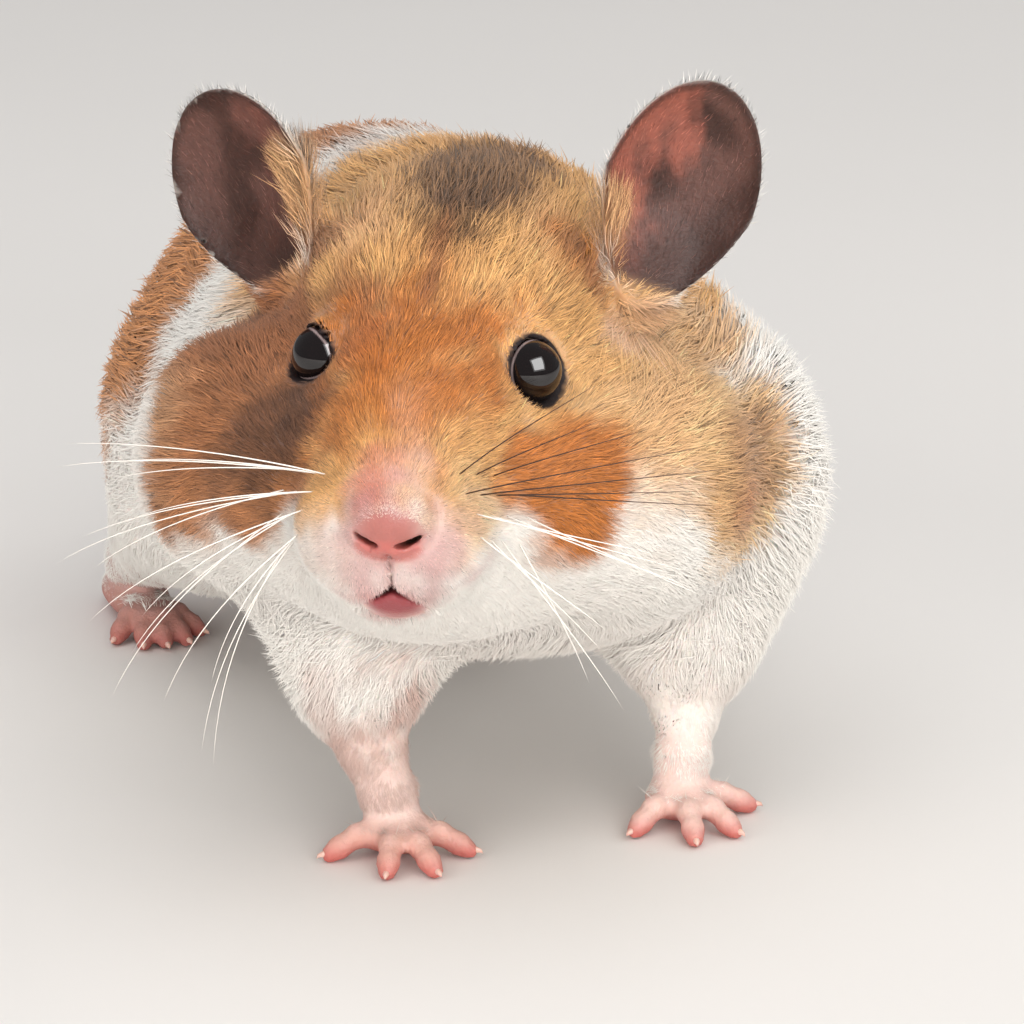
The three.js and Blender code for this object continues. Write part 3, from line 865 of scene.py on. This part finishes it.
# ---------------------------------------------------------------- the skin
# Roughness, scale of the noise, strength and depth of the bumps, and gloss.
SKIN_LOOKS = {
    "furred_skin": (0.7, 2500, 0.3, 0.0003, 0.35),
    "ear_skin": (0.55, 2200, 0.45, 0.0003, 0.35),
    "paw_skin": (0.5, 1800, 0.5, 0.0004, 0.35),
    "nose_skin": (0.4, 3500, 0.35, 0.0002, 0.5),
}
# Where each of them lies: as far as an ear's rim and foot, or up to the top of the paws.
EAR_EDGE, EAR_FOOT = 1.2, -0.85
PAW_TOP = 6.5


def make_skin():
    vertices, faces = surface_net(sampled_field())
    vertices = pulled_to_skin(vertices)
    skin = mesh_object("skin", vertices, faces, colours=skin_colour(vertices))
    for name, look in SKIN_LOOKS.items():
        skin.data.materials.append(skin_material(name, *look))
    middles = vertices[faces].mean(1)
    head = to_head(middles)
    kind = np.zeros(len(faces), int)
    for side in SIDES:
        along, _, share, off = ear_place(middles, side)
        kind[(share < EAR_EDGE) & (np.abs(off) < 1.6) & (along > EAR_FOOT)] = 1
    kind[middles[:, 2] < PAW_TOP] = 2
    kind[distance(head, MUZZLE_MIDDLE) < MUZZLE_REACH] = 3
    fill(skin.data.polygons, "material_index", kind, np.int32)
    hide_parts(*[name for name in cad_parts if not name.startswith("eye")])
    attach(skin, "root")
    return vertices, faces


def make_eye(side, material):
    """An eyeball: near black, with a fine pale line where the lids meet it, partly its own pale
    rim and partly a painted highlight of the wet edge.
    """
    rows, turns = EYE_MESH
    middle, axes = eye_frame(side)
    down = np.linspace(0, math.pi, rows)[1:-1]
    spin = np.arange(turns) * 2 * math.pi / turns
    angle, turn = [grid.ravel() for grid in np.meshgrid(down, spin, indexing="ij")]
    level, upright = np.sin(angle) * np.cos(turn), np.sin(angle) * np.sin(turn)
    ways = np.column_stack([np.cos(angle), level, upright])
    ways = np.concatenate([ways, [(1, 0, 0), (-1, 0, 0)]])
    vertices = middle + ways @ axes * (BALL_RADIUS - 0.04 + 0.1 * ramp(ways[:, :1], 0.5, 1.0))
    # painted highlight: the pale line round the opening is partly the gleam of the wet rim
    past = past_lids(vertices, side)
    wet = ramp(past, -0.26, -0.16) * ramp(past, 0.05, -0.08)
    colours = mix(np.tile(EYE_DARK, (len(vertices), 1)), EYE_RIM_HIGHLIGHT, (0.5 * wet)[:, None])
    faces = capped_tube(rows - 2, turns)
    eye = mesh_object(f"eyeball_{side}", vertices, faces, colours=colours)
    eye.data.materials.append(material)
    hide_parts(f"eye_{side}")
    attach(eye, "root")


# ---------------------------------------------------------------- the coat
TUFTS = 240_000
PIECE_TUFTS = 33_000  # at most, in one piece
PATCH = 0.003  # a tuft's size on the coat's unwrap
LOWEST_HAIR = 0.15  # over the floor
LEG_HAIR_REACH = 40  # no tuft of a leg lies further before or behind its palm
SPINE_HEIGHT = 32  # the middle of the trunk, round which its coat is unwrapped
TRUNK_RADIUS = 26
LEG_RADIUS = 6
ROOT_SINK = 0.15  # how far a tuft starts under the skin
BEND_ALONG, BEND_RISE = 0.42, 0.62  # where a tuft bends, as shares of its reach and rise
STRAY_SHARE, STRAY_RISE = 0.04, 1.6  # how many tufts stand out further, and how much
DARK_HAIRS, DARK_NAPE_HAIRS, LIGHT_HAIRS = 0.08, 0.3, 0.16  # shares of the golden coat
NOSE_WHORL = np.array([NOSE_MIDDLE, -27.0, -8.5])  # the face's hair points away from here


def eye_closeness(points):
    """1 at an eye's lids and 0 from about five millimetres away, with the way out of it."""
    near = np.zeros(len(points))
    away = np.zeros_like(points)
    for side in SIDES:
        gap = points - eye_frame(side)[0]
        far = np.linalg.norm(gap, axis=1)
        weight = ramp(far, 7.5, 3.8)
        near += weight
        away += unit(gap) * weight[:, None]
    return near, away


def head_share(points, head):
    """1 on the head, 0 on the trunk and between them where they meet."""
    gap = masses_field(points, trunk_masses) - masses_field(head, head_masses)
    return ramp(gap, -3, 5)


def leg_share(points):
    """1 on the legs, which stand out below the body."""
    share = np.zeros(len(points))
    for plan, sign in LIMBS.values():
        close = ramp(leg_rod(points, plan, sign), 4.5, 1.0)
        share = np.maximum(share, close * ramp(points[:, 2], 19, 12))
    return share


def ear_root_share(points):
    """1 round the foot of an ear, and 1 where the longer tuft at its inner side grows."""
    foot = np.zeros(len(points))
    tuft = np.zeros(len(points))
    for side, sign in SIDES.items():
        root = on_head(EARS[side]["root"])
        foot = np.maximum(foot, ramp(distance(points, root), 9, 5))
        along, across, _, off = ear_place(points, side)
        inner = -across * sign
        edge = haired_edge(along, inner, side) * ramp(np.abs(off), 3.2, 2.2)
        close = ramp(distance(points, ear_frame(side)[0]), 14.5, 12)
        tuft = np.maximum(tuft, edge * close * ramp(inner, 1.9, 1.5))
    return foot, tuft


def ear_share(points):
    share = np.zeros(len(points))
    for side in SIDES:
        along, _, rim, off = ear_place(points, side)
        there = ramp(rim, 1.3, 1.15) * ramp(np.abs(off), 2.4, 1.7) * ramp(along, -1.0, -0.8)
        share = np.maximum(share, there)
    return share


def area_shares(points, head):
    return head_share(points, head), leg_share(points), ear_share(points)


def hairs_at(points):
    """How the coat grows at each point: length, width, height of its tips over the skin,
    and how much of the skin it covers."""
    head = to_head(points)
    on_the_head, on_legs, on_ears = area_shares(points, head)
    near_eye = np.minimum(eye_closeness(points)[0], 1)
    foot, tuft = ear_root_share(points)
    _, along, up = points.T
    _, back, high = head.T
    under = ramp(up, 34, 20)  # shorter under the chest and on the upper arms
    low = ramp(up, 10, 4)
    crown = ramp(high, 6, 11) * ramp(back, 12, 20) * on_the_head
    flat = mix(1, 0.42, under) * mix(1, 0.7, ramp(along, 35, 60))
    broad = mix(0.15, 0.22, ramp(along, 45, 80)) * mix(1, 0.7, under)
    face_length = np.interp(back, (-21, -17, -8, 4, 18, 32), (0.5, 1.3, 2.4, 3.8, 5.0, 6.0))
    face_width = np.interp(back, (-21, -14, -4, 8, 24), (0.06, 0.075, 0.09, 0.11, 0.14))
    length = mix(mix(6.0, 4.0, under), face_length, on_the_head)
    width = mix(broad, face_width, on_the_head)
    height = mix(TRUNK_DEPTH * flat, head_depth(head), on_the_head) * mix(1, 1.7, crown)
    hairs = []
    # the length, width and height high and low on the legs, how much of each is left near
    # an eye and at the foot of an ear, and what it is on the ears and in their tufts
    for value, leg, by_eye, by_ear, ear, long_tuft in (
        (length, (1.9, 1.0), 0.35, 0.45, 1.3, 5.4),
        (width, (0.09, 0.06), 0.8, 1.0, 0.045, 0.085),
        (height, (0.27, 0.13), 0.35, 0.45, 0.3, 1.9),
    ):
        value = mix(value, mix(*leg, low), on_legs)
        value = value * mix(1, by_eye, near_eye) * mix(1, by_ear, foot)
        hairs.append(mix(mix(value, ear, on_ears), long_tuft, tuft))
    cover = mix(3.6, 5.2, on_the_head) * mix(1, 0.95, on_legs) * mix(1, 0.7, ramp(along, 45, 70))
    return *hairs, mix(mix(cover, 0.3, on_ears), 4.5, tuft)


def bare_share(points):
    """1 where the skin has no coat: paws, nose, mouth, lids and tail."""
    head = to_head(points)
    paw = ramp(points[:, 2], 3.9, 3.2)
    pad = ramp(by_nose(head, (0, -20.8, -9.9), (2.9, 2.0, 2.0)), 0.5, 0.1)
    lip = ramp(by_nose(head, (0, -15.8, -17.2), (2.7, 3.4, 1.9)), 0.3, 0.0)
    bare = np.maximum(np.maximum(paw, pad), lip)
    for side in SIDES:
        edge = ramp(past_lids(points, side), 0.6, 0.4) * ramp(over_ball(points, side), 1.0, 0.6)
        bare = np.maximum(bare, edge)
    tail = ramp(off_tail(points), 0.8, 0.3)
    return np.maximum(bare, tail * ramp(points[:, 1], 96, 99))


def lie_of_coat(points, normals):
    """The way the hairs point along the skin."""
    head = to_head(points)
    on_the_head, on_legs, on_ears = area_shares(points, head)
    face = unit(head - NOSE_WHORL) + np.array([0, 0.1, -0.12]) * ramp(head[:, 2], 0, -8)[:, None]
    way = mix(np.array([0, 1, -0.4]), head_way(face), on_the_head[:, None])
    way = mix(way, np.array([0, 0.2, -1]), on_legs[:, None])
    _, tuft = ear_root_share(points)
    for side, sign in SIDES.items():
        middle, axes, _ = ear_frame(side)
        near = distance(points, middle) < EAR_REACH
        fan = unit(points - middle + axes[1] * 9)
        way = mix(way, fan, (on_ears * near)[:, None])
        sweep = axes[1] + head_way([sign * 0.6, -0.2, 0])
        way = mix(way, sweep, (near * tuft)[:, None])
    near, away = eye_closeness(points)
    toward = np.minimum((way * away).sum(1), 0)
    way = way - away * (1.25 * toward * (1 - np.maximum(on_ears, tuft)))[:, None]
    way = unit(way - normals * (way * normals).sum(1)[:, None])
    swirl = 0.22 * ripple(points, 8, 71) + 0.2 * ripple(points, 2.6, 72)
    swirl = swirl + 0.16 * dice.normal(size=len(points))
    aside = np.cross(normals, way)
    return way * np.cos(swirl)[:, None] + aside * np.sin(swirl)[:, None]


def tuft_roots(vertices, faces):
    """Points spread over the skin, as thickly as the coat grows there."""
    triangles = np.concatenate([faces[:, [0, 1, 2]], faces[:, [0, 2, 3]]])
    a, b, c = (vertices[corners] for corners in triangles.T)
    middles = (a + b + c) / 3
    area = np.linalg.norm(np.cross(b - a, c - a), axis=1) / 2
    length, width, _, cover = hairs_at(middles)
    wanted = area * cover * (1 - bare_share(middles)) / (length * width)
    total = np.cumsum(wanted)
    picks = (np.arange(TUFTS) + dice.random(TUFTS)) * total[-1] / TUFTS
    chosen = np.searchsorted(total, picks)
    u, v = dice.random((2, TUFTS, 1))
    over = u + v > 1
    u, v = np.where(over, 1 - u, u), np.where(over, 1 - v, v)
    return a[chosen] * (1 - u - v) + b[chosen] * u + c[chosen] * v


LOCK_SIZE = 0.45  # as a share of the tufts' length
LOCK_PULL = 0.4  # how far, at most, a tip is drawn to its lock's middle
LOCK_PRIMES = np.array([73_856_093, 19_349_663, 83_492_791])  # tell the locks' cells apart


def clumped(roots, tips, cell):
    """Draws the tips of neighbouring tufts together into locks."""
    uneven = np.column_stack([ripple(roots, 3, seed) for seed in (81, 82, 83)]) * 0.4
    keys = np.floor((roots + uneven) / cell[:, None]).astype(np.int64) * LOCK_PRIMES
    keys = keys[:, 0] ^ keys[:, 1] ^ keys[:, 2]
    _, group = np.unique(keys, return_inverse=True)
    count = np.bincount(group)
    middle = np.column_stack([np.bincount(group, weights=tips[:, k]) / count for k in range(3)])
    pull = dice.uniform(0.0, LOCK_PULL, len(tips))
    return mix(tips, middle[group], pull[:, None])


def ear_hair_colour(points):
    """The ears' tiny hairs are paler or darker than the skin, and white along the rim."""
    tone = np.where(dice.random(len(points)) < 0.5, 1.9, 0.55)
    colour = np.clip(skin_colour(points) * tone[:, None] + 0.01, 0, 0.85)
    for side in SIDES:
        _, _, share, off = ear_place(points, side)
        rim = ramp(share, 0.95, 1.0) * (np.abs(off) < 2) * (share < 1.3)
        colour = tint(colour, WHITE_FUR, 0.85 * rim)
    return colour


def tuft_colours(roots, tips):
    """Each tuft's colour at its root, middle and tip. Hairs in the golden parts are banded,
    and some are dark or blond all along."""
    under, over = coat_colour(roots), coat_colour(mix(roots, tips, 0.6))
    on_ears, tuft = ear_share(roots)[:, None], ear_root_share(roots)[1][:, None]
    fine = ear_hair_colour(roots)
    under, over = mix(under, fine, on_ears), mix(over, fine, on_ears)
    for side in SIDES:
        along = ear_place(roots, side)[0]
        near = distance(roots, ear_frame(side)[0]) < EAR_REACH
        blond = tuft * near[:, None]
        under = mix(under, tuft_shade(along), blond)
        over = mix(over, tuft_shade(along + 0.3), blond)
    count = len(roots)
    pigment = np.clip(1 - over[:, 2] / WHITE_FUR[2], 0, 1) * ramp(roots[:, 2], 14, 25)
    kind = dice.random(count)
    tone = np.exp(dice.normal(0, 0.02 + 0.15 * pigment, count))
    nape = ramp(ellipsoid(to_head(roots), (0.3, 22, 11), (6, 20, 8)), 2.5, -1.5)
    tone = np.where(kind < (DARK_HAIRS + DARK_NAPE_HAIRS * nape) * pigment, tone * 0.42, tone)
    tone = np.where(kind > 1 - LIGHT_HAIRS * pigment, tone * 1.3, tone)
    tone = tone * (1 + 0.10 * pigment * ripple(roots, 2.2, 91))
    warm = dice.normal(0, 0.04, count)[:, None] * np.array([0.3, 0, -1.0])
    base = mix(1.0, 0.82, pigment)[:, None] * under * tone[:, None]
    middle = over * tone[:, None] * (1 + warm * pigment[:, None])
    tip = middle * mix(1.03, 1.12, pigment)[:, None]
    return np.clip(np.stack([base, middle, tip], 1), 0, 0.97)


def round_trunk(points):
    """The angle at which points lie round the spine."""
    return np.arctan2(points[:, 0] - SWAY, points[:, 2] - SPINE_HEIGHT)


def coat_unwrap(points, area):
    """Where points lie on a flat unwrap of the skin: a disc round the nose for the head, a
    sheet round the spine for the trunk, and sleeves for the legs and ears."""
    if area == "head":
        head = to_head(points) - np.array([0, 8, -5])
        arc = np.arccos(np.clip(-unit(head)[:, 1], -1, 1))
        turn = np.arctan2(head[:, 2], head[:, 0])
        return np.column_stack([arc * np.cos(turn), arc * np.sin(turn)])
    if area == "trunk":
        turn = round_trunk(points)
        return np.column_stack([turn * TRUNK_RADIUS, points[:, 1]])
    if area.startswith("ear"):
        side = area.split("_")[1]
        along, across, _, off = ear_place(points, side)
        return np.column_stack([across + np.where(off > 0, 0, 2.6), along])
    plan, sign = LIMBS[area]
    x, y, _ = mirrored(plan["line"][1], sign)
    turn = np.arctan2(points[:, 1] - y, points[:, 0] - x)
    return np.column_stack([turn * LEG_RADIUS, points[:, 2]])


def make_tufts(name, area, coat, chosen, material):
    """One piece of the coat: closed three-sided blades, pointed at both ends, with a bend."""
    roots, ways, normals, bends, tips, width, shades = (part[chosen] for part in coat)
    side = unit(np.cross(ways, normals))
    ridge = np.cross(side, ways)
    half = width[:, None] / 2
    vertices = np.stack(
        [roots, bends - side * half, bends + side * half, bends + ridge * half * 0.8, tips], 1
    )
    vertices[:, :, 2] = np.maximum(vertices[:, :, 2], LOWEST_HAIR)
    lean = side * 0.4
    shading = unit(normals[:, None] + np.stack([side * 0, -lean, lean, side * 0, side * 0], 1))
    start = (np.arange(len(roots)) * 5)[:, None]
    faces = np.concatenate([start + (0, i, j) for i, j in ((1, 2), (2, 3), (3, 1))])
    faces = np.concatenate([faces, *(start + (4, j, i) for i, j in ((1, 2), (2, 3), (3, 1)))])
    flat = coat_unwrap(roots, area)
    flat = 0.01 + 0.97 * (flat - flat.min(0)) / np.ptp(flat, axis=0).max()
    uv = flat[:, None] + np.array([(0.5, 0), (0, 0.5), (1, 0.5), (0.5, 0.5), (0.5, 1)]) * PATCH
    colours = shades[:, [0, 1, 1, 1, 2]]
    vertices, colours, shading = (rows.reshape(-1, 3) for rows in (vertices, colours, shading))
    piece = mesh_object(name, vertices, faces, colours, shading, uv.reshape(-1, 2))
    piece.data.materials.append(material)
    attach(piece, "root")


def grown_coat(vertices, faces):
    """Every tuft's root, way, normal, bend, tip, width and colours."""
    roots = tuft_roots(vertices, faces)
    normals, _ = outward(roots)
    length, width, height, _ = hairs_at(roots)
    lie = lie_of_coat(roots, normals)
    stray = np.where(dice.random(TUFTS) < STRAY_SHARE, STRAY_RISE, 1.0)
    length = length * dice.uniform(0.7, 1.2, TUFTS)
    rise = np.clip(height * dice.uniform(0.55, 1.15, TUFTS) * stray, 0.1, length * 0.75)
    along = np.sqrt(length**2 - rise**2)
    start = roots - normals * ROOT_SINK
    bends = start + lie * (along * BEND_ALONG)[:, None] + normals * (rise * BEND_RISE)[:, None]
    tips = start + lie * along[:, None] + normals * (rise + ROOT_SINK)[:, None]
    tips = clumped(roots, tips, length * LOCK_SIZE)
    ways = unit(tips - start)
    width = width * dice.uniform(0.75, 1.25, TUFTS)
    return start, ways, normals, bends, tips, width, tuft_colours(roots, tips)


def split(chosen, order, parts):
    """Tufts in so many like-sized sets, in the order of a value."""
    return np.array_split(chosen[np.argsort(order[chosen], kind="stable")], parts)


def make_coat(vertices, faces):
    coat = grown_coat(vertices, faces)
    roots = coat[0]
    head = to_head(roots)
    material = fur_material("coat_fur", 0.6)
    area = np.where(head_share(roots, head) > 0.5, "head", "trunk").astype("<U16")
    area[leg_share(roots) > 0.5] = "leg"
    area[ear_share(roots) > 0.5] = "ear"
    spin = {
        "head": np.arctan2(head[:, 2] + 5, head[:, 0]),
        "trunk": round_trunk(roots),
    }
    for name, order in spin.items():
        chosen = np.flatnonzero(area == name)
        for k, part in enumerate(split(chosen, order, 1 + len(chosen) // PIECE_TUFTS), 1):
            make_tufts(f"coat_{name}_{k}", name, coat, part, material)
    for limb, (plan, sign) in LIMBS.items():
        near = np.abs(roots[:, 1] - plan["palm"]["at"][1]) < LEG_HAIR_REACH
        part = np.flatnonzero((area == "leg") & near & (roots[:, 0] * sign > 0))
        make_tufts(f"coat_{limb}", limb, coat, part, material)
    for side, sign in SIDES.items():
        part = np.flatnonzero((area == "ear") & (head[:, 0] * sign > 0))
        make_tufts(f"coat_ear_{side}", f"ear_{side}", coat, part, material)


# ---------------------------------------------------------------- whiskers and claws
def tapered_tube(places, radii, around=6):
    """A closed tube along places, as its vertices and faces; the last place is its point."""
    places = np.asarray(places, float)
    way = unit(np.gradient(places, axis=0))
    side = unit(np.cross(way, [0.1, 0.2, 1.0]))
    up = np.cross(way, side)
    turn = np.arange(around) * 2 * math.pi / around
    spokes = np.cos(turn)[:, None, None] * side + np.sin(turn)[:, None, None] * up
    rings = (places + spokes * np.array(radii)[:, None]).swapaxes(0, 1)[:-1]
    sides, caps = capped_tube(len(rings), around)
    vertices = np.concatenate([rings.reshape(-1, 3), places[:1], places[-1:]])
    corners = (0, 3, 2), (0, 2, 1)
    return vertices, np.concatenate([*(sides[:, three] for three in corners), caps[:, (0, 2, 1)]])


def joined(parts):
    """Several (vertices, faces) as one."""
    starts = np.cumsum([0] + [len(vertices) for vertices, _ in parts])
    faces = np.concatenate([face + start for (_, face), start in zip(parts, starts)])
    return np.concatenate([vertices for vertices, _ in parts]), faces


# Whiskers, in the head's frame: how far each row's middle root lies out, forward and down;
# how its whiskers rise in degrees, from its first to its last; how many; and their length.
WHISKER_ROWS = {
    "right": [
        ((-8.0, -13.8, -6.6), (10, 0), 4, 23),
        ((-8.6, -13.6, -8.6), (-4, -18), 4, 24),
        ((-8.6, -13.6, -10.6), (-24, -40), 4, 25),
        ((-7.8, -13.6, -12.6), (-46, -66), 4, 22),
    ],
    "left": [
        ((8.2, -14.0, -5.4), (40, 24), 3, 15),
        ((9.0, -13.6, -7.4), (20, 4), 4, 22),
        ((9.6, -13.4, -9.4), (-4, -18), 4, 20),
        ((9.2, -13.6, -11.6), (-28, -56), 4, 18),
    ],
}
WHISKER_RADIUS = 0.075
WHISKER_STEPS = 14
WHISKER_GAP = 1.7  # between roots in a row
WHISKER_SWING = (-22, 50)  # degrees back from straight out: at the root, and more to the tip
WHISKER_DROOP = {"right": 30, "left": 14}  # degrees, from root to tip


def whisker(side, root, rise, length):
    """One whisker: it leaves the muzzle outwards and forward and bows back as it goes."""
    sign = SIDES[side]
    share = np.linspace(0, 1, WHISKER_STEPS)
    swing = math.radians(WHISKER_SWING[0]) + math.radians(WHISKER_SWING[1]) * share
    lift = math.radians(rise) - math.radians(WHISKER_DROOP[side]) * (share - 0.2)
    step = length / (WHISKER_STEPS - 1)
    ways = np.column_stack([
        sign * np.cos(swing) * np.cos(lift), np.sin(swing) * np.cos(lift), np.sin(lift)
    ])
    places = np.array(root) + np.vstack([np.zeros(3), np.cumsum(ways[:-1] * step, axis=0)])
    radii = WHISKER_RADIUS * np.sqrt(np.linspace(1, 0.03, WHISKER_STEPS))
    return tapered_tube(on_head(places), radii, around=5)


def rooted_on_skin(root):
    """The place just under the skin that lies closest to a root in the head's frame."""
    place = on_head([root])
    for _ in range(4):
        normal, rate = outward(place)
        place = place - normal * ((skin_field(place) + 0.25) / np.maximum(rate, 0.4))[:, None]
    return to_head(place)[0]


def make_whiskers(side):
    pale, dark = [], []
    for (x, y, z), rises, count, reach in WHISKER_ROWS[side]:
        for k, rise in enumerate(np.linspace(*rises, count)):
            back = WHISKER_GAP * (k - (count - 1) / 2)
            place = (x + SIDES[side] * back * 0.6, y + back, z - back * 0.35)
            root = rooted_on_skin(place)
            length = reach * dice.uniform(0.75, 1.1)
            made = whisker(side, root, rise + dice.uniform(-1.5, 1.5), length)
            (dark if side == "left" and rise > -4 else pale).append(made)
    for tone, parts in (("pale", pale), ("dark", dark)):
        if parts:
            piece = mesh_object(f"whiskers_{side}_{tone}", *joined(parts))
            piece.data.materials.append(hair_material(f"whisker_{tone}", tone))
            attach(piece, "root")


HAIR_TONES = {"pale": ((236, 226, 214), (250, 246, 240)), "dark": ((52, 34, 28), (84, 60, 46))}


def hair_material(name, tone):
    """Smooth single hairs, pale or near black."""
    material, tree, shader = principled(name)
    two_toned(tree, shader, noise(tree, 500), *HAIR_TONES[tone])
    roughened(tree, shader, noise(tree, 900), 0.3, 0.5)
    return material


# A claw's middle line, out from the toe and up, and its radii.
CLAW_OUT = (0, 0.4, 0.8, 1.05)
CLAW_UP = (0, 0.1, 0, -0.25)
CLAW_RADII = (0.36, 0.32, 0.2, 0.04)


def make_claws(limb, material):
    """A small curved claw at the end of each toe."""
    plan, sign = LIMBS[limb]
    parts = []
    for heading, reach in plan["toes"]:
        line = np.array(toe_line(plan, sign, heading, reach))
        way = unit((line[3] - line[2]) * (1, 1, 0))
        start = line[3] + way * TOE_RADIUS * 0.35
        out, up = np.outer(CLAW_OUT, way), np.outer(CLAW_UP, (0, 0, 1))
        places = start + out + up
        parts.append(tapered_tube(places, CLAW_RADII, around=8))
    claws = mesh_object(f"claws_{limb}", *joined(parts))
    claws.data.materials.append(material)
    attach(claws, "root")


def claw_material():
    """Pale translucent horn."""
    material, tree, shader = principled("claw", Subsurface_Weight=0.2, Subsurface_Scale=0.0005)
    two_toned(tree, shader, noise(tree, 1500), (214, 168, 154), (228, 192, 178))
    roughened(tree, shader, noise(tree, 2500), 0.25, 0.4)
    return material


# ---------------------------------------------------------------- floor, light and camera
CAMERA_AZIMUTH, CAMERA_ELEVATION = math.radians(-18), math.radians(17)
CAMERA_PLACE = np.array([-127.0, -374.2, 156.0])
IMAGE_SIZE = 1024  # pixels
FOCAL_LENGTH = 4400 / IMAGE_SIZE  # as a share of the image's width
SENSOR_WIDTH = 36
NEAREST, FURTHEST = 0.01, 20  # metres


def make_camera():
    data = bpy.data.cameras.new("camera")
    data.sensor_width = SENSOR_WIDTH
    data.lens = FOCAL_LENGTH * SENSOR_WIDTH
    data.clip_start, data.clip_end = NEAREST, FURTHEST
    camera = placed("camera", data)
    camera.location = (CAMERA_PLACE + row_shift) * MM
    camera.rotation_euler = (math.pi / 2 - CAMERA_ELEVATION, 0, CAMERA_AZIMUTH)
    bpy.context.scene.camera = camera


FLOOR_HALF = 4000.0


def make_floor():
    corners = np.array([(-1, -1, 0), (1, -1, 0), (1, 1, 0), (-1, 1, 0)]) * FLOOR_HALF
    floor = mesh_object("floor", corners, np.array([[0, 1, 2, 3]]), smooth=False)
    material, tree, shader = principled("floor", Roughness=0.6, Specular_IOR_Level=0.2)
    two_toned(tree, shader, noise(tree, 6), (226, 222, 218), (232, 228, 224))
    floor.data.materials.append(material)


LIGHTS_AIM = Vector((0, -0.02, 0.03))
WORLD_COLOUR = (0.95, 0.97, 1, 1)
WORLD_STRENGTH = 0.2


def area_light(name, place, size, power, colour=(1, 1, 1), glossy=True, diffuse=True):
    """A square soft light at place, in metres, that looks at the animal."""
    data = bpy.data.lights.new(name, "AREA")
    data.size, data.energy, data.color = size, power, colour
    light = placed(name, data)
    light.location = place
    light.rotation_euler = (LIGHTS_AIM - Vector(place)).to_track_quat("-Z", "Y").to_euler()
    light.visible_glossy = glossy
    light.visible_diffuse = diffuse
    light.visible_camera = False


def make_lights():
    area_light("key", (0.22, -0.80, 0.68), 0.95, 4.2, (1, 0.995, 0.98))
    area_light("glint", (0.21, -0.77, 0.655), 0.72, 11, diffuse=False)
    area_light("right", (0.9, -0.1, 0.7), 0.8, 3, (1, 0.99, 0.97), glossy=False)
    area_light("sky", (-0.2, 0.0, 1.5), 2.0, 15, (0.98, 0.99, 1), glossy=False)
    area_light("low", (-0.15, -1.1, 0.08), 0.8, 12, (1, 0.98, 0.95), glossy=False)
    area_light("left", (-1.0, -0.5, 0.25), 1.0, 7.5, (1, 0.98, 0.96), glossy=False)
    world = bpy.data.worlds.new("studio")
    world.use_nodes = True
    background = world.node_tree.nodes["Background"]
    background.inputs["Color"].default_value = WORLD_COLOUR
    background.inputs["Strength"].default_value = WORLD_STRENGTH
    bpy.context.scene.world = world
    bpy.context.scene.view_settings.view_transform = "Standard"


# ---------------------------------------------------------------- assembly
make_camera()
make_floor()
make_lights()
skin_vertices, skin_faces = make_skin()
glossy = eye_material()
for eye_side in SIDES:
    make_eye(eye_side, glossy)
make_coat(skin_vertices, skin_faces)
horn = claw_material()
for limb_name in LIMBS:
    make_claws(limb_name, horn)
for whisker_side in SIDES:
    make_whiskers(whisker_side)
